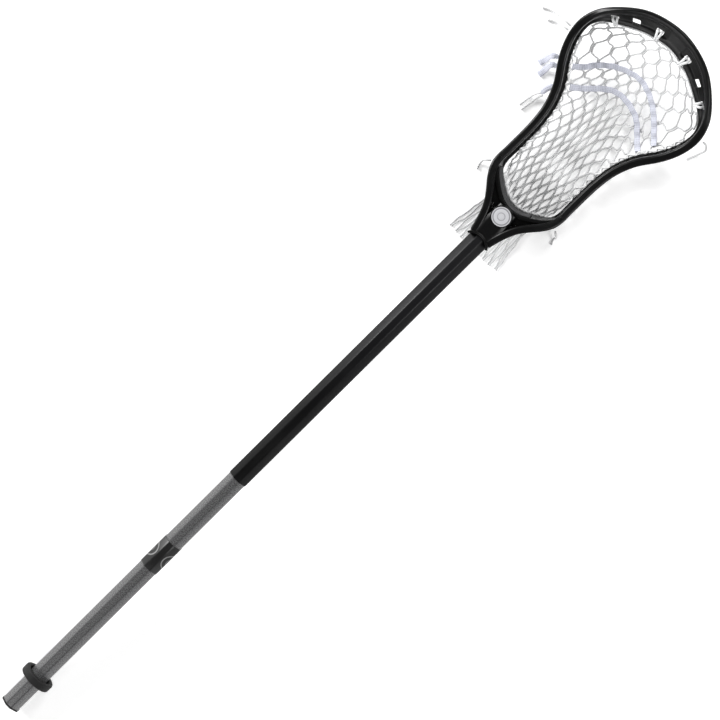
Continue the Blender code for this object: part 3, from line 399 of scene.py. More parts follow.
def band_surface(count=481):
    """The band's surface, a function of the place along the rail and the place round its section.

    Each section is a superellipse bead along the upper edge, a thinner web, and a bead along the lower edge.
    A low ridge runs along the rails' crown, and a step frames the holes on the scoop's inner face.
    """
    rows = rail_rows(count)
    top, _, down, out, height, share = band_frames(rows)
    bead = RAIL_HALF - share * (RAIL_HALF - SCOOP_HALF)
    web = WEB_HALF - share * 0.0005
    solid = (1 - smooth(np.abs(rows[:, 1:2]), 0.0125, 0.0145)) * (share > 0.5)
    web = web + 0.85 * solid * (bead - web)
    cap = np.linspace(math.pi / 2, 0, 9)
    round_q, round_a = np.cos(cap) ** 0.8, np.sin(cap) ** 0.8
    ease = np.linspace(0, 1, 7)[1:]
    neck = ease * ease * (3 - 2 * ease)
    ones = np.ones_like(height)
    web_start, web_end = 0.0062 * ones, height - 0.0058
    upper_a = np.hstack([-TOP_BEAD * round_a * ones, 0.0022 * ones, 0.0022 + (web_start - 0.0022) * ease])
    upper_q = np.hstack([bead * round_q, bead, bead + (web - bead) * neck])
    web_share = np.linspace(0, 1, 26)[1:-1]
    middle_a = web_start + (web_end - web_start) * web_share
    middle_q = np.broadcast_to(web, middle_a.shape)
    lower_a = np.hstack([web_end + (height - 0.0021 - web_end) * ease, height + LOW_BEAD * round_a[::-1]])
    lower_q = np.hstack([web + (bead - web) * neck, bead * round_q[::-1]])
    a = np.hstack([upper_a, middle_a, web_end, lower_a])
    q = np.hstack([upper_q, middle_q, web, lower_q])
    inner_a, inner_q = a[:, -2:0:-1], -q[:, -2:0:-1]
    off_middle = np.abs(rows[:, 1:2])
    framed = smooth(off_middle, 0.0165, 0.018) * (1 - smooth(off_middle, 0.072, 0.080)) * (share > 0.2)
    framed = framed * smooth(inner_a / height, 0.30, 0.345) * (1 - smooth(inner_a / height, 0.97, 1.0))
    inner_q = inner_q + 0.0008 * framed
    a, q = np.hstack([a, inner_a]), np.hstack([q, inner_q])
    a = a + 0.0004 * (1 - share) * np.exp(-((q / 0.0013) ** 2)) * (a < 0)
    return top[:, None] + down[:, None] * a[..., None] + out[:, None] * q[..., None]


def mesh_height(x, y):
    """Height of the mesh: it hangs from the rails in a bag and lies flat where it meets the ground.

    Towards the base wall it dips to pass under the wall and then lies on the ground.
    """
    s = (x - THROAT_X) / MM
    rim, bag, half = (np.interp(s, *np.array(table).T) for table in (RIM, BAG, HALF))
    v = np.clip(np.abs(y) / MM / half, 0, 1)
    floor = ground(x) + 0.0011
    soft = 0.0015
    sag = floor + soft * np.logaddexp(0, ((rim - bag * (1 - v**2.4)) * MM - floor) / soft)
    base = base_rows(61)[30:]
    wall = np.interp(np.abs(y), base[:, 1], base[:, 0])
    return floor + (sag - floor) * smooth(x - wall, 0.003, 0.016)


def mesh_normals(x, y):
    """Upward unit normals of the mesh's surface."""
    e = 0.002
    slope_x = (mesh_height(x + e, y) - mesh_height(x - e, y)) / (2 * e)
    slope_y = (mesh_height(x, y + e) - mesh_height(x, y - e)) / (2 * e)
    return unit(np.stack([-slope_x, -slope_y, np.ones_like(slope_x)], axis=-1))


def hole_frames():
    """Centre, way along the scoop, way down the band, outward normal and lower bead at each scoop hole."""
    rows = rail_rows(961)
    top, low, down, out, _, _ = band_frames(rows)
    frames = {}
    for place, share in (*STRUNG_HOLES, *BARE_HOLES):
        for side in (1, -1):
            centres = top + (low - top) * share
            i = np.argmin(np.abs(centres[:, 1] - side * place * MM) + 10 * (rows[:, 0] < THROAT_X + 0.23))
            frames[side * place] = (centres[i], np.cross(out[i], down[i]), down[i], out[i], low[i])
    return frames


# ---------------------------------------------------------------- materials


class Surface:
    """A node material under construction, with its Principled shader."""

    def __init__(self, name):
        self.material = bpy.data.materials.new(name)
        self.material.use_nodes = True
        self.tree = self.material.node_tree
        self.shader = self.tree.nodes["Principled BSDF"]

    def node(self, kind, output=0, inputs=None, **settings):
        """Adds a node; inputs are numbers, colours or other nodes' sockets."""
        node = self.tree.nodes.new("ShaderNode" + kind)
        for key, value in settings.items():
            setattr(node, key, value)
        for key, value in (inputs or {}).items():
            self.put(node.inputs[key], value)
        return node.outputs[output]

    def put(self, socket, value):
        if isinstance(value, bpy.types.NodeSocket):
            self.tree.links.new(value, socket)
        else:
            colour = isinstance(value, tuple) and len(value) == 3 and socket.type == "RGBA"
            socket.default_value = (*value, 1) if colour else value

    def set(self, **values):
        for key, value in values.items():
            self.put(self.shader.inputs[key.replace("_", " ")], value)
        return self

    def coords(self, scale=(1, 1, 1), uv=False):
        """Object coordinates, or the metres along and around the surface, stretched."""
        source = self.node("TexCoord", "UV" if uv else "Object")
        return self.node("Mapping", 0, {"Vector": source, "Scale": scale})

    def noise(self, vector, scale, detail=3.0, roughness=0.5):
        return self.node("TexNoise", "Fac", {"Vector": vector, "Scale": scale, "Detail": detail,
                                             "Roughness": roughness})

    def ramp(self, value, low, high, out_low=0.0, out_high=1.0):
        return self.node("MapRange", 0, {"Value": value, "From Min": low, "From Max": high, "To Min": out_low,
                                         "To Max": out_high}, interpolation_type="SMOOTHSTEP")

    def blend(self, factor, a, b):
        return self.node("MixRGB", 0, {"Fac": factor, "Color1": a, "Color2": b})

    def math(self, operation, a, b=0.0):
        return self.node("Math", 0, {0: a, 1: b}, operation=operation)

    def bump(self, height, distance, strength=1.0, below=None):
        inputs = {"Height": height, "Distance": distance, "Strength": strength}
        if below is not None:
            inputs["Normal"] = below
        return self.node("Bump", 0, inputs)


LAVENDER = (0.86, 0.88, 1.0)
BADGE_RINGS = (0.0087, 0.0040)


def grey(value, tint=(1.0, 1.0, 1.0)):
    return tuple(value * t for t in tint)


def alloy_material():
    """Satin anodised alloy: fine drawing lines along the tube, a light grain and a few faint rubs."""
    s = Surface("satin_grey_alloy")
    lines = s.noise(s.coords((8, 900, 900), uv=True), 1.0, 4.0)
    grain = s.noise(s.coords(), 900.0, 2.0)
    rubs = s.noise(s.coords((6, 60, 60)), 1.0, 5.0, 0.65)
    tone = s.blend(lines, grey(0.14, (1, 1, 1.01)), grey(0.18, (1, 1, 1.01)))
    tone = s.blend(s.ramp(rubs, 0.62, 0.8, 0.0, 0.35), tone, grey(0.27))
    s.set(Base_Color=tone, Metallic=0.6, Roughness=s.ramp(grain, 0.3, 0.7, 0.24, 0.31))
    s.set(Normal=s.bump(lines, 0.00004, 0.5, s.bump(grain, 0.00003, 0.4)))
    return s.material


def grip_material():
    """Grip skin: black at its lower end, charcoal towards the head, with a fine pebble and rub marks."""
    s = Surface("charcoal_grip")
    place = s.node("SeparateXYZ", 0, {0: s.coords()})
    shade = s.ramp(place, -0.16, 0.2, 0.0, 1.0)
    mottle = s.noise(s.coords((14, 90, 90)), 1.0, 5.0, 0.6)
    pebble = s.noise(s.coords(), 1500.0, 2.0)
    tone = s.blend(shade, grey(0.0015), grey(0.0075, (1, 1, 1.12)))
    tone = s.blend(s.ramp(mottle, 0.5, 0.78, 0.0, 0.30), tone, grey(0.018))
    s.set(Base_Color=tone, Roughness=s.ramp(mottle, 0.3, 0.7, 0.32, 0.42), Specular_IOR_Level=0.16)
    s.set(Normal=s.bump(pebble, 0.00006, 0.6))
    return s.material


def band_material(centre, radius):
    """Black film with two plain rings a side: lines where the distance from a centre is near a radius."""
    s = Surface("black_film")
    coords = s.coords()
    along = s.math("SUBTRACT", s.node("SeparateXYZ", 0, {0: coords}), centre[0])
    up = s.math("SUBTRACT", s.node("SeparateXYZ", 2, {0: coords}), centre[1])
    reach = s.math("SQRT", s.math("ADD", s.math("MULTIPLY", along, along), s.math("MULTIPLY", up, up)))
    line = s.math("ABSOLUTE", s.math("SUBTRACT", reach, radius))
    mark = s.ramp(line, 0.0004, 0.0007, 1.0, 0.0)
    inner = s.ramp(s.math("ABSOLUTE", s.math("SUBTRACT", reach, radius * 0.62)), 0.0003, 0.0005, 0.6, 0.0)
    fleck = s.noise(s.coords(), 700.0, 3.0)
    tone = s.blend(s.math("MAXIMUM", mark, inner), s.blend(fleck, grey(0.004), grey(0.007)), grey(0.22))
    s.set(Base_Color=tone, Roughness=s.ramp(fleck, 0.3, 0.7, 0.32, 0.42))
    s.set(Normal=s.bump(fleck, 0.00003, 0.4))
    return s.material


def rubber_material(name, value, roughness):
    """Moulded rubber: a matt skin with fine pits and a little dust in the hollows."""
    s = Surface(name)
    pits = s.noise(s.coords(), 1100.0, 4.0)
    dust = s.noise(s.coords(), 140.0, 4.0, 0.6)
    tone = s.blend(s.ramp(dust, 0.45, 0.75, 0.0, 0.5), grey(value), grey(value * 2.6, (1.0, 0.98, 0.95)))
    s.set(Base_Color=tone, Roughness=s.ramp(pits, 0.3, 0.7, roughness - 0.06, roughness + 0.06))
    s.set(Specular_IOR_Level=0.35, Normal=s.bump(pits, 0.00009, 0.7))
    return s.material


def nylon_material():
    """Injection-moulded nylon: satin black with an orange-peel skin, faint flow marks and small scuffs."""
    s = Surface("black_nylon")
    peel = s.noise(s.coords(), 420.0, 3.0)
    flow = s.noise(s.coords((30, 30, 90)), 1.0, 4.0, 0.55)
    scuff = s.noise(s.coords((220, 60, 120)), 1.0, 5.0, 0.7)
    tone = s.blend(flow, grey(0.0018), grey(0.004, (1, 1, 1.05)))
    tone = s.blend(s.ramp(scuff, 0.64, 0.80, 0.0, 0.5), tone, grey(0.02))
    s.set(Base_Color=tone, Roughness=s.ramp(peel, 0.3, 0.7, 0.28, 0.36), Specular_IOR_Level=0.22)
    s.set(Normal=s.bump(peel, 0.00007, 0.5))
    return s.material


def foam_material():
    """Closed-cell foam: dark grey with cells that show as pits, and painted shade that darkens the middle of
    each pit.
    """
    s = Surface("dark_foam")
    cells = s.node("TexVoronoi", "Distance", {"Vector": s.coords(), "Scale": 900.0})
    soft = s.noise(s.coords(), 260.0, 4.0)
    # painted shade: the middle of each cell, where the bump makes a pit, gets the darker grey
    tone = s.blend(s.ramp(cells, 0.0, 0.6), grey(0.028), grey(0.062, (1, 1, 1.04)))
    tone = s.blend(s.ramp(soft, 0.4, 0.7, 0.0, 0.4), tone, grey(0.085))
    s.set(Base_Color=tone, Roughness=s.ramp(soft, 0.3, 0.7, 0.86, 0.96), Specular_IOR_Level=0.25)
    s.set(Normal=s.bump(cells, 0.00025, 0.8))
    return s.material


def badge_material(centre):
    """Silvered badge: bright satin plastic with two plain darker rings and a turned grain."""
    s = Surface("silver_badge")
    offset = s.node("VectorMath", 0, {0: s.coords(), 1: centre}, operation="SUBTRACT")
    reach = s.node("VectorMath", "Value", {0: offset}, operation="LENGTH")
    outer, inner = (s.math("ABSOLUTE", s.math("SUBTRACT", reach, ring)) for ring in BADGE_RINGS)
    rings = s.math("MAXIMUM", s.ramp(outer, 0.0005, 0.0008, 1.0, 0.0),
                   s.ramp(inner, 0.0005, 0.0008, 0.55, 0.0))
    grain = s.node("TexNoise", "Fac", {"Vector": s.node("CombineXYZ", 0, {0: reach}), "Scale": 2600.0})
    tone = s.blend(rings, s.blend(grain, grey(0.62, (1, 1, 1.04)), grey(0.74, (1, 1, 1.04))),
                   grey(0.30, (1, 1, 1.06)))
    s.set(Base_Color=tone, Metallic=0.35, Roughness=s.ramp(grain, 0.3, 0.7, 0.26, 0.38))
    s.set(Normal=s.bump(grain, 0.00002, 0.5))
    return s.material


def steel_material():
    """Zinc-plated steel: bright with a crystalline mottle."""
    s = Surface("zinc_steel")
    mottle = s.node("TexVoronoi", "Color", {"Vector": s.coords(), "Scale": 1400.0})
    shade = s.node("SeparateColor", 0, {0: mottle})
    s.set(Base_Color=s.blend(shade, grey(0.42), grey(0.6)), Metallic=1.0,
          Roughness=s.ramp(shade, 0.0, 1.0, 0.25, 0.42))
    s.set(Normal=s.bump(shade, 0.00002, 0.4))
    return s.material


def thread_material(name, tone, pitch, strands, weave=False, tint=(0.99, 0.995, 1.0)):
    """Twisted or woven fibre: ridges that slant across the surface's metres along and around, with fuzz, and
    painted shade that darkens the troughs between the ridges.

    A twist is the sine of a slanting coordinate; a weave multiplies two that slant opposite ways.
    """
    s = Surface(name)
    uv = s.node("TexCoord", "UV")
    u, v = s.node("SeparateXYZ", 0, {0: uv}), s.node("SeparateXYZ", 1, {0: uv})
    turns_u, turns_v = s.math("MULTIPLY", u, TAU / pitch), s.math("MULTIPLY", v, TAU * strands)
    ridge = s.math("SINE", s.math("ADD", turns_u, turns_v))
    if weave:
        ridge = s.math("MULTIPLY", ridge, s.math("SINE", s.math("SUBTRACT", turns_u, turns_v)))
    fuzz = s.noise(s.coords(), 2600.0, 3.0)
    stain = s.noise(s.coords(), 55.0, 4.0)
    light, dark = grey(tone, tint), grey(tone * 0.82, tint)
    # painted shade: the ridges' troughs, where the bump sinks, get the darker colour at 0.82 of the tone, and
    # the stains below use the same colour
    colour = s.blend(s.ramp(ridge, -0.9, 0.4), dark, light)
    colour = s.blend(s.ramp(stain, 0.45, 0.75, 0.0, 0.25), colour, dark)
    s.set(Base_Color=colour, Roughness=s.ramp(fuzz, 0.3, 0.7, 0.74, 0.9), Sheen_Weight=0.15,
          Specular_IOR_Level=0.3)
    s.set(Normal=s.bump(ridge, 0.00018, 0.8, s.bump(fuzz, 0.00006, 0.5)))
    return s.material


def floor_material():
    """Plain pale paper."""
    s = Surface("studio_floor")
    grain = s.noise(s.coords(), 35.0, 2.0)
    s.set(Base_Color=s.blend(grain, grey(0.93), grey(0.95)), Roughness=1.0, Specular_IOR_Level=0.0)
    s.set(Emission_Color=grey(1.0), Emission_Strength=0.3)
    return s.material


# ---------------------------------------------------------------- settings


class ShaftSettings(bpy.types.PropertyGroup):
    grip_start: FloatProperty(name="Grip start", description="Butt end to the grip's lower edge",
                              default=0.355,
                              unit="LENGTH")
    grip_end: FloatProperty(name="Grip end",
                            description="Butt end to the grip's upper edge inside the throat",
                            default=0.725, unit="LENGTH")
    grip_wall: FloatProperty(name="Grip wall", description="Thickness of the grip's skin", default=0.00045,
                             unit="LENGTH")
    band_start: FloatProperty(name="Band start", description="Butt end to the film band's lower edge",
                              default=0.2175, unit="LENGTH")
    band_end: FloatProperty(name="Band end", description="Butt end to the film band's upper edge",
                            default=0.2558,
                            unit="LENGTH")
    mark_radius: FloatProperty(name="Mark radius",
                               description="Radius of the plain ring on each side of the band",
                               default=0.0108, unit="LENGTH")


class HeadSettings(bpy.types.PropertyGroup):
    badge_station: FloatProperty(name="Badge", description="Throat's mouth to the badge's centre",
                                 default=0.0365,
                                 unit="LENGTH")
    badge_radius: FloatProperty(name="Badge radius", description="Radius of the badge", default=0.0103,
                                unit="LENGTH")
    screw_station: FloatProperty(name="Screw", description="Throat's mouth to the screw's axis",
                                 default=0.020,
                                 unit="LENGTH")
    hole_size: FloatVectorProperty(name="Scoop hole", description="Length and width of a scoop hole", size=2,
                                   default=(0.0084, 0.0082), unit="LENGTH")


class StringSettings(bpy.types.PropertyGroup):
    cords: IntProperty(name="Cords", description="Zigzag cords that make the mesh", default=18, min=3)
    strand: FloatProperty(name="Strand", description="Diameter of a mesh strand", default=0.0020,
                          unit="LENGTH")
    string: FloatProperty(name="String", description="Diameter of the strings", default=0.0024, unit="LENGTH")
    lace_width: FloatProperty(name="Lace width", description="Width of the shooting laces", default=0.0066,
                              unit="LENGTH")
    lace_thickness: FloatProperty(name="Lace thickness", description="Thickness of the shooting laces",
                                  default=0.0016, unit="LENGTH")


class StageSettings(bpy.types.PropertyGroup):
    camera_at: FloatVectorProperty(name="Camera", description="Where the camera is", size=3,
                                   default=(0.61017, -0.10, 3.57081), unit="LENGTH")
    look_at: FloatVectorProperty(name="Look at", description="Where the camera looks", size=3,
                                 default=(0.028184, -0.00169, 0.03), unit="LENGTH")
    roll: FloatProperty(name="Roll", description="Turn of the picture's up direction from 45 degrees in plan",
                        default=math.radians(0.0734), unit="ROTATION")
    lens: FloatProperty(name="Lens", description="Focal length in millimetres on a 36 mm sensor",
                        default=170.834)


# ---------------------------------------------------------------- shaft


class LACROSSE_OT_shaft(bpy.types.Operator):
    """Builds the alloy tube, the grip skin and the film band: a softened octagon carried along the axis"""

    bl_idname = "lacrosse.shaft"
    bl_label = "Build the shaft"

    def execute(self, context):
        props = context.scene.lacrosse_shaft
        soft = 0.0004
        stations = [(0, -soft), (soft * 0.4, -soft * 0.25), (soft, 0), (SHAFT_LENGTH - soft, 0),
                    (SHAFT_LENGTH, -soft),
                    (SHAFT_LENGTH, -SHAFT_WALL), (0, -SHAFT_WALL)]
        tube = tube_wall("visual_shaft", stations, alloy_material())
        grip = self.skin("visual_grip", props.grip_start, props.grip_end, props.grip_wall, grip_material())
        middle = (props.band_start + props.band_end) / 2
        centre = LAID @ Vector((middle, 0, 0))
        band = self.skin("visual_band", props.band_start, props.band_end, 0.0003,
                         band_material((centre.x, centre.z), props.mark_radius))
        for piece, node, slot in ((tube, "shaft", "shaft_alloy"), (grip, "grip_sleeve", "grip"),
                                  (band, "decal_band", "band_film")):
            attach(piece, "stick")
            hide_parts(node)
        return {"FINISHED"}

    def skin(self, name, start, end, wall, material):
        """A thin skin with softened ends."""
        inner, outer = 0.00005, 0.0002 + wall
        lip = wall * 0.8
        stations = [(start, inner), (start, outer - lip), (start + lip * 0.3, outer - lip * 0.3),
                    (start + lip, outer),
                    (end - lip, outer), (end - lip * 0.3, outer - lip * 0.3), (end, outer - lip),
                    (end, inner)]
        return tube_wall(name, stations, material)


class LACROSSE_OT_butt(bpy.types.Operator):
    """Builds the butt cap and the rubber ring: an octagon carried in steps, and a turned ring"""

    bl_idname = "lacrosse.butt"
    bl_label = "Build the butt cap and ring"

    def execute(self, context):
        gap, thick, wall = 0.0003, 0.0016, SHAFT_WALL + 0.0003
        ribs = []
        for start in np.arange(0.004, 0.021, 0.0034):
            ribs += [(start, -wall - 0.0005), (start + 0.0007, -wall), (start + 0.0014, -wall),
                     (start + 0.0021, -wall - 0.0005)]
        stations = [(-gap - thick, -0.0028), (-gap - thick, -0.0006), (-gap - thick * 0.85, -0.0001),
                    (-gap - thick * 0.6, 0.0004),
                    (-gap - 0.0002, 0.0005), (-gap, 0.0003), (-gap, -wall - 0.0005), *ribs,
                    (0.0225, -wall - 0.0005),
                    (0.024, -wall - 0.0016)]
        rows = [np.column_stack([np.full(48, x), octagon(offset)]) for x, offset in stations]
        cap = surface("visual_butt_cap", np.array(rows), rubber_material("cap_rubber", 0.008, 0.62))
        corners = [(-RING_LENGTH / 2, 0.01325), (-RING_LENGTH / 2, RING_RADIUS),
                   (RING_LENGTH / 2, RING_RADIUS),
                   (RING_LENGTH / 2, 0.01325)]
        profile = softened(corners, 0.0019, 7) + np.array([RING_X, 0])
        ring = surface("visual_butt_ring", turned(profile, 112), rubber_material("ring_rubber", 0.006, 0.68),
                       closed_along=True)
        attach(cap, "butt_cap")
        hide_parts("butt_cap")
        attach(ring, "butt_ring")
        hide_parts("butt_ring")
        return {"FINISHED"}


# ---------------------------------------------------------------- head


def block_prism(outline, start, end, frame_axes):
    """A prism: an outline of (a, b) points swept along the third axis between two distances."""
    origin, axis_a, axis_b, axis_c = (np.array(v, float) for v in frame_axes)
    flat = origin + outline[:, :1] * axis_a + outline[:, 1:] * axis_b
    return np.stack([flat + axis_c * start, flat + axis_c * end])


def rectangle(length, width):
    """The corners of a rectangle about its centre."""
    a, b = length / 2, width / 2
    return [(-a, -b), (a, -b), (a, b), (-a, b)]


def upright(outline, low, high):
    """An outline in plan as two rows of points at a lower and an upper height."""
    return np.stack([np.column_stack([outline, np.full(len(outline), z)]) for z in (low, high)])


def tool(name, rows):
    """A throwaway closed mesh for a Boolean, in the stick's own frame."""
    ob = surface(name, rows, bpy.data.materials.get("cutter") or bpy.data.materials.new("cutter"), world=True)
    ob.hide_render = True
    return ob


def combine(ob, others, operation):
    """Applies one Boolean with each of the other objects, which are then removed."""
    for other in others:
        modifier = ob.modifiers.new(operation, "BOOLEAN")
        modifier.operation = operation
        modifier.solver = "EXACT"
        modifier.object = other
    bpy.context.view_layer.update()
    mesh = bpy.data.meshes.new_from_object(ob.evaluated_get(bpy.context.evaluated_depsgraph_get()))
    ob.modifiers.clear()
    ob.data = mesh
    for other in others:
        bpy.data.objects.remove(other)


class LACROSSE_OT_head(bpy.types.Operator):
    """Builds the moulded head: the band joined to the throat's parts, with its windows and holes cut"""

    bl_idname = "lacrosse.head"
    bl_label = "Build the head"

    def execute(self, context):
        props = context.scene.lacrosse_head
        head = surface("visual_head", band_surface(), bpy.data.materials.new("cutter"), world=True)
        joined = [self.base_wall(), self.throat_plate(), self.socket(), self.collar(), self.boss(props),
                  self.lip()]
        combine(head, joined, "UNION")
        combine(head, [*self.bores(), *self.windows(), *self.scoop_holes(props), *self.string_holes(),
                       *self.slits()],
                "DIFFERENCE")
        mesh = head.data
        mesh.materials.clear()
        bpy.data.objects.remove(head)
        head = placed("visual_head", mesh, nylon_material(), sharp=32)
        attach(head, "stick")
        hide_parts("head_frame")
        return {"FINISHED"}

    def base_wall(self):
        """The curved wall behind the ball stop: a softened rectangle carried along the base line."""
        rows = base_rows(97)
        into = -inward(rows)
        section = softened([(0, -0.0365), (-0.0044, -0.0365), (-0.0044, 0.009), (0, 0.009)], 0.0011, 5)
        points = np.zeros((len(rows), len(section), 3))
        points[..., :2] = rows[:, None, :] + into[:, None, :2] * section[None, :, :1]
        points[..., 2] = section[None, :, 1]
        return tool("base_wall", points)

    def throat_plate(self):
        """The plate between the base wall and the arms."""
        arm = rail_rows(241)[121:]
        arm = arm[arm[:, 0] < THROAT_X + 0.066][::3]
        left = np.column_stack([arm[:, 0], arm[:, 1] - 0.004])
        wall = base_rows(49)
        wall = wall[np.abs(wall[:, 1]) < left[0, 1] - 0.003] - np.array([0.002, 0])
        outline = np.vstack([left, left[::-1] * np.array([1, -1]), wall])
        return tool("throat_plate", upright(outline, 0.002, 0.006))

    def socket(self):
        """The socket round the shaft: a rounded octagon that swells towards the head."""
        stations = curve_through(np.array(SOCKET) * MM, 25)
        rings = []
        for station, w, d in stations:
            corners = [(w, d * 0.55), (w * 0.86, d * 0.86), (w * 0.52, d), (-w * 0.52, d),
                       (-w * 0.86, d * 0.86),
                       (-w, d * 0.55), (-w, -d * 0.55), (-w * 0.86, -d * 0.86), (-w * 0.52, -d),
                       (w * 0.52, -d),
                       (w * 0.86, -d * 0.86), (w, -d * 0.55)]
            outline = softened(corners, 0.0016, 5)
            rings.append(np.column_stack([np.full(len(outline), THROAT_X + station), outline]))
        return tool("socket", np.array(rings))

    def boss(self, props):
        """The raised round seat under the badge."""
        profile = softened([(0.002, 0.004), (0.002, 0.0116), (0.0159, 0.0116), (0.0159, 0.004)], 0.0006, 5)
        profile = np.vstack([[0.002, 0.0], profile[5:-5], [0.0159, 0.0]])
        points = turned(profile, 72, "z") + np.array([THROAT_X + props.badge_station, 0, 0])
        return tool("boss", points.transpose(1, 0, 2))

    def collar(self):
        """The shield from arm to arm over the socket: softened rectangles sloping to the plate."""
        station = np.linspace(0.0035, 0.0275, 25)
        arm = rail_rows(481)[241:][::-1]
        half = np.interp(THROAT_X + station, arm[:, 0], arm[:, 1]) - 0.0015
        top = 0.0146 - 0.0095 * smooth(station, 0.0215, 0.0270)
        rings = []
        for x, w, z in zip(station, half, top):
            outline = softened([(w, z), (-w, z), (-w, 0.0), (w, 0.0)], 0.0012, 5)
            rings.append(np.column_stack([np.full(len(outline), THROAT_X + x), outline]))
        return tool("collar", np.array(rings))

    def lip(self):
        """The raised rounded lip along the mouth's notch: a circle carried round an arc."""
        angle = np.linspace(-1.02, 1.02, 49)
        path = np.column_stack([THROAT_X - 0.008 + 0.0158 * np.cos(angle), 0.0158 * np.sin(angle),
                                np.full(49, 0.0147)])
        return tool("lip", carried(path, np.array([0, 0, 1.0]), circle(0.0014, 16)))

    def bores(self):
        """The shaft's bore, the wider mouth round the grip, the hollowed mouth and the screw's hole."""
        made = []
        for name, offset, end in (("bore", 0.0003, SHAFT_LENGTH + 0.0003), ("grip_bore", 0.00095, 0.7253)):
            outline = octagon(offset)
            ends = [np.column_stack([np.full(48, x), outline]) for x in (THROAT_X - 0.005, end)]
            made.append(tool(name, np.stack(ends)))
        angle = np.arange(72) / 72 * TAU
        notch = np.column_stack([THROAT_X - 0.008 + 0.014 * np.cos(angle), 0.014 * np.sin(angle)])
        made.append(tool("notch", upright(notch, -0.03, 0.03)))
        drill = np.column_stack([THROAT_X + 0.02 + 0.0022 * np.cos(angle), 0.0022 * np.sin(angle)])
        made.append(tool("drill", upright(drill, -0.03, 0.0)))
        return made

    def windows(self):
        """The openings in both sidewalls between their struts."""
        rows = rail_rows(241)[121:]
        made = []
        for start, end in WINDOWS:
            upper = np.array([start + WINDOW_SLANT, end]) * MM + THROAT_X
            lower = np.array([start, end - WINDOW_SLANT]) * MM + THROAT_X
            top = np.interp(-upper, -rows[:, 0], rows[:, 2]) - 0.0095
            low = np.interp(-lower, -rows[:, 0], rows[:, 3]) + 0.0105
            outline = softened([*zip(upper, top), *zip(lower[::-1], low[::-1])], 0.005, 7)
            made.append(tool("window", block_prism(outline, -0.11, 0.11,
                                                   ((0, 0, 0), (1, 0, 0), (0, 0, 1), (0, 1, 0)))))
        return made

    def scoop_holes(self, props):
        """Slots through the scoop, with softened corners."""
        length, width = props.hole_size
        outline = softened(rectangle(length, width), 0.0012, 5)
        return [tool("scoop_hole", block_prism(outline, -0.007, 0.007, (centre, along, down, out)))
                for centre, along, down, out, _ in hole_frames().values()]

    def string_holes(self):
        """Round holes through both lower rails for the sidewall strings."""
        rows = rail_rows(241)
        low = band_frames(rows)[1][121:]
        outline = circle(0.0019, 24)
        made = []
        for station in STRING_HOLES:
            x = THROAT_X + station * MM
            height = np.interp(-x, -low[:, 0], low[:, 2])
            axes = ((x, 0, height), (1, 0, 0), (0, 0, 1), (0, 1, 0))
            made.append(tool("string_hole", block_prism(outline, -0.12, 0.12, axes)))
        return made

    def slits(self):
        """The two slanting slits beside the badge."""
        outline = softened(rectangle(0.006, 0.002), 0.0009, 5)
        made = []
        for side in (1, -1):
            slant = np.array([math.cos(0.5), side * math.sin(0.5), 0])
            across = np.cross([0, 0, 1], slant)
            axes = ((THROAT_X + 0.0375, side * 0.0147, 0), slant, across, (0, 0, 1))
            made.append(tool("slit", block_prism(outline, -0.01, 0.01, axes)))
        return made


class LACROSSE_OT_trim(bpy.types.Operator):
    """Builds the ball stop pad, the badge and the screw: a rounded strip and two turned shapes"""

    bl_idname = "lacrosse.trim"
    bl_label = "Build the pad, badge and screw"

    def execute(self, context):
        props = context.scene.lacrosse_head
        rows = base_rows(181)
        rows = rows[(rows[:, 1] > -0.0215) & (rows[:, 1] < 0.0385)]
        into = -inward(rows)
        section = softened([(0.0001, -0.013), (0.0023, -0.013), (0.0023, 0.008), (0.0001, 0.008)], 0.0009, 6)
        points = np.zeros((len(rows), len(section), 3))
        points[..., :2] = rows[:, None, :] + into[:, None, :2] * section[None, :, :1]
        points[..., 2] = section[None, :, 1]
        pad = surface("visual_ball_stop", points, foam_material())
        radius, top = props.badge_radius, 0.0162
        dome = np.linspace(0, 1, 14)
        profile = np.vstack([[0, 0], [0, radius - 0.0002], [0.0002, radius],
                             np.column_stack([0.0006 + 0.0005 * np.cos(dome[::-1] * math.pi / 2),
                                              radius * dome[::-1]])])
        grooves = 0.00022 * sum(np.exp(-(((profile[:, 1] - ring) / 0.0006) ** 2)) for ring in BADGE_RINGS)
        profile[3:, 0] -= grooves[3:]
        at = np.array([THROAT_X + props.badge_station, 0, top])
        centre = LAID @ Vector(at)
        badge = surface("visual_badge", (turned(profile, 96, "z") + at).transpose(1, 0, 2),
                        badge_material(tuple(centre)), capped=False)
        screw = self.screw(props)
        for piece, node, slot in ((pad, "ball_stop_pad", "stop_foam"), (badge, "throat_badge", "badge"),
                                  (screw, "head_screw", "screw_steel")):
            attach(piece, "stick")
            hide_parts(node)
        return {"FINISHED"}

    def screw(self, props):
        """A domed screw head with a cross recess, and its shank."""
        dome = np.linspace(0, 1, 9)
        crown = [0.0013 * (1 - np.cos(dome * math.pi / 2)), 0.0040 * np.sin(dome * math.pi / 2)]
        profile = np.vstack([np.column_stack(crown), [0.0016, 0.0042], [0.0026, 0.0042], [0.0028, 0.0040],
                             [0.0028, 0.0019], [0.0118, 0.0019], [0.0138, 0.0]])
        at = np.array([THROAT_X + props.screw_station, 0, -0.0185])
        body = tool("screw_body", (turned(profile, 48, "z") + at).transpose(1, 0, 2))
        cuts = []
        for a, b in (((1, 0, 0), (0, 1, 0)), ((0, 1, 0), (-1, 0, 0))):
            outline = softened(rectangle(0.0042, 0.0007), 0.0003, 4)
            cuts.append(tool("recess", block_prism(outline, -0.001, 0.0014, (at, a, b, (0, 0, 1)))))
        combine(body, cuts, "DIFFERENCE")
        mesh = body.data
        mesh.materials.clear()
        bpy.data.objects.remove(body)
        return placed("visual_screw", mesh, steel_material(), sharp=35)


# ---------------------------------------------------------------- mesh and strings


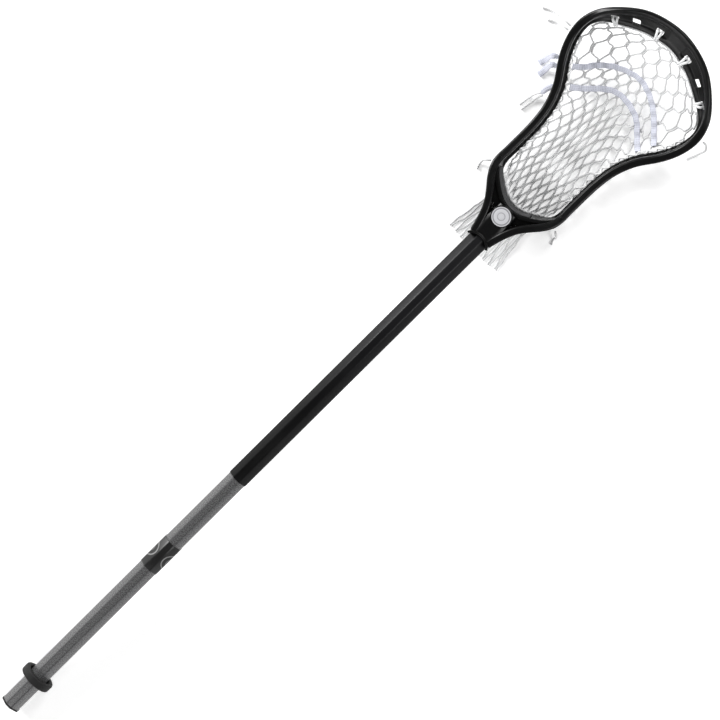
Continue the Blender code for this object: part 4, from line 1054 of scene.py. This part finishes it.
class LACROSSE_OT_mesh(bpy.types.Operator):
    """Knits the mesh: zigzag cords from the scoop to the tail that touch their neighbours in turn

    Cord k's place across is v_k + (-1)^k w(r), where w(r) is a flattened triangle wave of the row.
    """

    bl_idname = "lacrosse.mesh"
    bl_label = "Knit the mesh"

    def execute(self, context):
        props = context.scene.lacrosse_strings
        count = props.cords
        knots = np.array(MESH_ROWS)
        row = np.linspace(0, knots[-1, 0], int(knots[-1, 0] * 12) + 1)[None, :]
        k = np.arange(count)[:, None]
        spacing = 2 / (count - 1)
        flat = 2.7 - smooth(row, 5.5, 8.5)
        swing = np.clip(flat * (2 / math.pi) * np.arcsin(np.cos(math.pi * row)), -1, 1)
        sign = np.where(k % 2 == 0, 1.0, -1.0)
        wander = 0.06 * spacing * np.sin(2.1 * row + 1.7 * k) + 0.05 * spacing * np.sin(0.83 * row - 2.3 * k)
        lane = -1 + k * spacing
        v = np.clip(lane + sign * swing * spacing / 2 + wander * (1 - np.abs(swing)), -1, 1)
        middle, edge_x, edge_y = (np.interp(row, knots[:, 0], knots[:, c]) * MM for c in (1, 2, 3))
        gather = 0.24 * smooth(row, 6.0, 8.5) * (1 - smooth(row, 12.0, 16.5))
        y = v * (1 - gather * (1 - v**2)) * edge_y
        x = THROAT_X + middle + (edge_x - middle) * np.abs(v) ** (1.35 + 0.65 * smooth(row, 1.5, 4.5))
        x = x + 0.0006 * np.sin(1.3 * k + 2.9 * np.round(row))
        side_by_side = sign * np.where(np.abs(lane + sign * spacing / 2) > 1, 0.0, 1.0)
        y = y - side_by_side * swing * props.strand * 0.5
        z = mesh_height(x, y)
        normals = mesh_normals(x, y)
        path = np.stack([x, y, z], axis=-1) + normals * (0.0003 * np.sin(math.pi * row))[..., None]
        thick = props.strand / 2 * (1 + 0.14 * smooth(np.abs(swing), 0.8, 1.0))
        thick = np.broadcast_to(thick, x.shape)
        rings = carried(path, normals, circle(thick, 8))
        mesh = surface("visual_mesh", rings, thread_material("white_mesh", 0.84, 0.0022, 900.0), sharp=80)
        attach(mesh, "stick")
        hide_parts("mesh_pocket", "mesh_tail")
        return {"FINISHED"}


class LACROSSE_OT_strings(bpy.types.Operator):
    """Threads the strings and laces that hold the mesh: round and flat profiles carried along smooth lines"""

    bl_idname = "lacrosse.strings"
    bl_label = "Thread the strings and laces"

    def execute(self, context):
        props = context.scene.lacrosse_strings
        radius = props.string / 2
        fibre = thread_material("white_string", 0.86, 0.0030, 530.0)
        up = np.array([0, 0, 1.0])
        top = self.top_route(radius)
        pieces = [(surface("visual_top_string", carried(top, np.array([0.6, 0.1, 0.8]),
                                                        circle(radius * 1.15, 12)), fibre, sharp=80),
                   "top_string", "string")]
        rows = rail_rows(481)
        low = band_frames(rows)[1]
        shelf = low + inward(rows) * 0.0046 + np.array([0, 0, 0.0048])
        for name, side in (("left", 1), ("right", -1)):
            laced = (shelf[:, 0] > THROAT_X + SIDEWALL_LACED[0]) & (shelf[:, 0] < THROAT_X + SIDEWALL_LACED[1])
            on_side = shelf[(shelf[:, 1] * side > 0) & laced]
            base = spaced(on_side, 420)
            turn = arc_length(base) * TAU / 0.0105
            inner = -np.array([0, side, 0])
            path = base + np.outer(0.0013 * (1 + np.cos(turn)), inner) + np.outer(0.0014 * np.sin(turn), up)
            ring = carried(path, up, circle(radius * 0.86, 10))
            pieces.append((surface("visual_sidewall_" + name, ring, fibre, sharp=80),
                           "sidewall_string_" + name, "string"))
        base = base_rows(121)[24:-24]
        line = np.column_stack([base - inward(base)[:, :2] * (radius + 0.0004), np.full(len(base), -0.027)])
        line = spaced(line, 200)
        line[:, 2] += 0.0012 * np.sin(arc_length(line) * TAU / 0.009)
        pieces.append((surface("visual_bottom_string", carried(line, up, circle(radius, 10)), fibre,
                               sharp=80),
                       "bottom_string", "string"))
        weave = thread_material("white_lace", 0.74, 0.0052, 240.0, True, LAVENDER)
        for name, points in (("upper", UPPER_LACE), ("lower", LOWER_LACE)):
            plan = curve_through(np.array(points) * MM + np.array([THROAT_X, 0]), 260)
            x, y = plan[:, 0], plan[:, 1]
            normals = mesh_normals(x, y)
            wave = 0.0005 * np.sin(arc_length(plan) * TAU / 0.0121)
            path = np.stack([x, y, mesh_height(x, y)], axis=1) + normals * (0.0026 + wave)[:, None]
            ring = carried(path, normals, lace_profile(props))
            pieces.append((surface("visual_lace_" + name, ring, weave, sharp=80), "shooting_lace_" + name,
                           "lace"))
        for piece, node, slot in pieces:
            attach(piece, "stick")
            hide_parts(node)
        return {"FINISHED"}

    def top_route(self, radius):
        """Runs inside the scoop's edge and, at each strung hole, over the edge, through the hole and back."""
        rows = rail_rows(481)
        _, low, down, _, _, _ = band_frames(rows)
        edge = low + down * (LOW_BEAD + 0.0018)
        runs = edge[(np.abs(edge[:, 1]) < 0.068) & (edge[:, 0] > THROAT_X + 0.2)]
        frames = hole_frames()
        places = sorted(side * place for place, _ in STRUNG_HOLES for side in (1, -1))
        marks = [-0.068, *[place * MM for place in places], 0.068]
        off = 0.0024 + radius + 0.0002
        route = [runs[(runs[:, 1] > marks[0]) & (runs[:, 1] < marks[1] - 0.006)][::4]]
        for place, following in zip(places, marks[2:]):
            centre, along, way_down, normal, bead = frames[place]
            along = along * np.sign(along[1])
            levels = (bead + way_down * (LOW_BEAD + 0.0028), bead + way_down * (LOW_BEAD + 0.0006),
                      centre * 0.35 + bead * 0.65, centre)
            turns = []
            for lane in (-1, 1):
                reaches = lane * np.array([0.0013, 0.0011, 0.0014, 0.0022])
                for face in (-1, 1):
                    offs = face * np.array([0.0010, off * 0.9, off, off * 0.62])
                    leg = [level + along * reach + normal * away for level, reach,
                           away in zip(levels, reaches, offs)]
                    turns += leg if face < 0 else [centre - way_down * 0.0008 + along * reaches[3],
                                                   *leg[::-1]]
            route.append(np.array(turns))
            route.append(runs[(runs[:, 1] > place * MM + 0.006) & (runs[:, 1] < following - 0.006)][::4])
        return curve_through(np.vstack([part for part in route if len(part)]), 1500, in_space=True)


def lace_profile(props):
    """A flat lace's section: an ellipse with its ends squared a little."""
    angle = np.arange(20) / 20 * TAU
    c, s = np.cos(angle), np.sin(angle)
    across = props.lace_width / 2 * np.sign(c) * np.abs(c) ** 0.7
    thick = props.lace_thickness / 2 * np.sign(s) * np.abs(s) ** 0.8
    return np.stack([across, thick], axis=-1)


class LACROSSE_OT_loose_ends(bpy.types.Operator):
    """Lays the loose string and lace ends on the ground, and the knot in the lower lace"""

    bl_idname = "lacrosse.loose_ends"
    bl_label = "Lay the loose ends"

    def execute(self, context):
        props = context.scene.lacrosse_strings
        fibre = thread_material("white_tail", 0.72, 0.0030, 530.0)
        for name, points in STRING_ENDS.items():
            path = curve_through(from_throat(points), 160, in_space=True)
            radius = np.full(len(path), props.string / 2)
            radius[-8:] *= np.linspace(1.0, 1.25, 8)
            rings = carried(path, np.array([0.8, 0.15, 0.6]), circle(radius, 12))
            self.declare(surface("visual_" + name, rings, fibre, world=True, sharp=80), name, path,
                         props.string)
        weave = thread_material("white_lace_tail", 0.74, 0.0052, 240.0, True, LAVENDER)
        for name, points in LACE_ENDS.items():
            path = curve_through(from_throat(points), 160, in_space=True)
            rings = carried(path, np.array([-0.5, 0.2, 1.0]), lace_profile(props))
            self.declare(surface("visual_" + name, rings, weave, world=True, sharp=80), name, path,
                         props.lace_width)
        path = curve_through(from_throat(KNOT_PATH), 90, in_space=True)
        along = arc_length(path)
        swell = 1 + 0.07 * np.sin(along * TAU / 0.0019)
        swell *= 0.55 + 0.45 * smooth(np.minimum(along, along[-1] - along), 0.0, 0.0022)
        shape = lace_profile(props) * np.array([0.9, 1.9])
        rings = carried(path, np.array([-0.3, 0.1, 1.0]), shape[None] * swell[:, None, None])
        knot = surface("visual_knot", rings, weave, world=True, sharp=80)
        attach(knot, "stick")
        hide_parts("lower_lace_knot")
        return {"FINISHED"}

    def declare(self, piece, name, path, diameter):
        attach(piece, "stick")
        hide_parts(name)


# ---------------------------------------------------------------- stage


# The lights: name, place in metres, power in watts, width of the square in metres
LIGHTS = (
    ("key", (0.1, 2.7, 1.25), 115, 1.2),
    ("fill", (0.4, -2.3, 2.0), 46, 1.3),
    ("head_end", (2.3, 0.2, 1.9), 38, 1.2),
    ("butt_end", (-2.6, -0.1, 0.95), 22, 1.2),
)


class LACROSSE_OT_stage(bpy.types.Operator):
    """Sets up the floor, the soft lights and the camera"""

    bl_idname = "lacrosse.stage"
    bl_label = "Set the stage"

    def execute(self, context):
        props = context.scene.lacrosse_stage
        scene = context.scene
        mesh = bpy.data.meshes.new("studio_floor")
        mesh.from_pydata([(-6, -6, 0), (6, -6, 0), (6, 6, 0), (-6, 6, 0)], [], [(0, 1, 2, 3)])
        mesh.materials.append(floor_material())
        floor = bpy.data.objects.new("studio_floor", mesh)
        made = [floor]
        for name, place, power, size in LIGHTS:
            light = bpy.data.lights.new(name, "AREA")
            light.energy = power
            light.size = size
            ob = bpy.data.objects.new(name, light)
            ob.location = place
            ob.rotation_euler = (Vector((0.1, 0, 0)) - Vector(place)).to_track_quat("-Z", "Y").to_euler()
            made.append(ob)
        world = bpy.data.worlds.new("studio")
        world.use_nodes = True
        world.node_tree.nodes["Background"].inputs["Color"].default_value = (1, 1, 1, 1)
        world.node_tree.nodes["Background"].inputs["Strength"].default_value = 0.12
        scene.world = world
        scene.view_settings.view_transform = "Standard"
        camera = bpy.data.cameras.new("camera")
        camera.lens = props.lens
        camera.sensor_width = 36
        camera.clip_end = 20
        viewer = bpy.data.objects.new("camera", camera)
        at, target = Vector(props.camera_at), Vector(props.look_at)
        forward = (target - at).normalized()
        up = Vector((math.cos(math.pi / 4 + props.roll), math.sin(math.pi / 4 + props.roll), 0))
        right = forward.cross(up).normalized()
        turn = Matrix((right, right.cross(forward), -forward)).transposed()
        viewer.matrix_world = Matrix.Translation(at) @ turn.to_4x4()
        made.append(viewer)
        for ob in made:
            scene.collection.objects.link(ob)
        scene.camera = viewer
        return {"FINISHED"}


class LACROSSE_PT_panel(bpy.types.Panel):
    """Buttons for each piece in the 3D view's sidebar"""

    bl_idname = "LACROSSE_PT_panel"
    bl_label = "Lacrosse stick"
    bl_space_type = "VIEW_3D"
    bl_region_type = "UI"
    bl_category = "Lacrosse"

    def draw(self, context):
        for operator in OPERATORS:
            self.layout.operator(operator.bl_idname)


SETTINGS = {"lacrosse_shaft": ShaftSettings, "lacrosse_head": HeadSettings,
            "lacrosse_strings": StringSettings,
            "lacrosse_stage": StageSettings}
OPERATORS = (LACROSSE_OT_stage, LACROSSE_OT_loose_ends, LACROSSE_OT_shaft, LACROSSE_OT_butt, LACROSSE_OT_head,
             LACROSSE_OT_trim, LACROSSE_OT_mesh, LACROSSE_OT_strings)


def register():
    for cls in (*SETTINGS.values(), *OPERATORS, LACROSSE_PT_panel):
        bpy.utils.register_class(cls)
    for name, cls in SETTINGS.items():
        setattr(bpy.types.Scene, name, PointerProperty(type=cls))


def unregister():
    for name in SETTINGS:
        delattr(bpy.types.Scene, name)
    for cls in reversed((*SETTINGS.values(), *OPERATORS, LACROSSE_PT_panel)):
        bpy.utils.unregister_class(cls)


def main():
    register()
    for operator in OPERATORS:
        space, name = operator.bl_idname.split(".")
        if getattr(getattr(bpy.ops, space), name)() != {"FINISHED"}:
            raise RuntimeError(operator.bl_label + " didn't finish")
    for leftover in [m for m in bpy.data.materials if m.name.startswith("cutter")]:
        bpy.data.materials.remove(leftover)


if __name__ == "__main__":
    main()
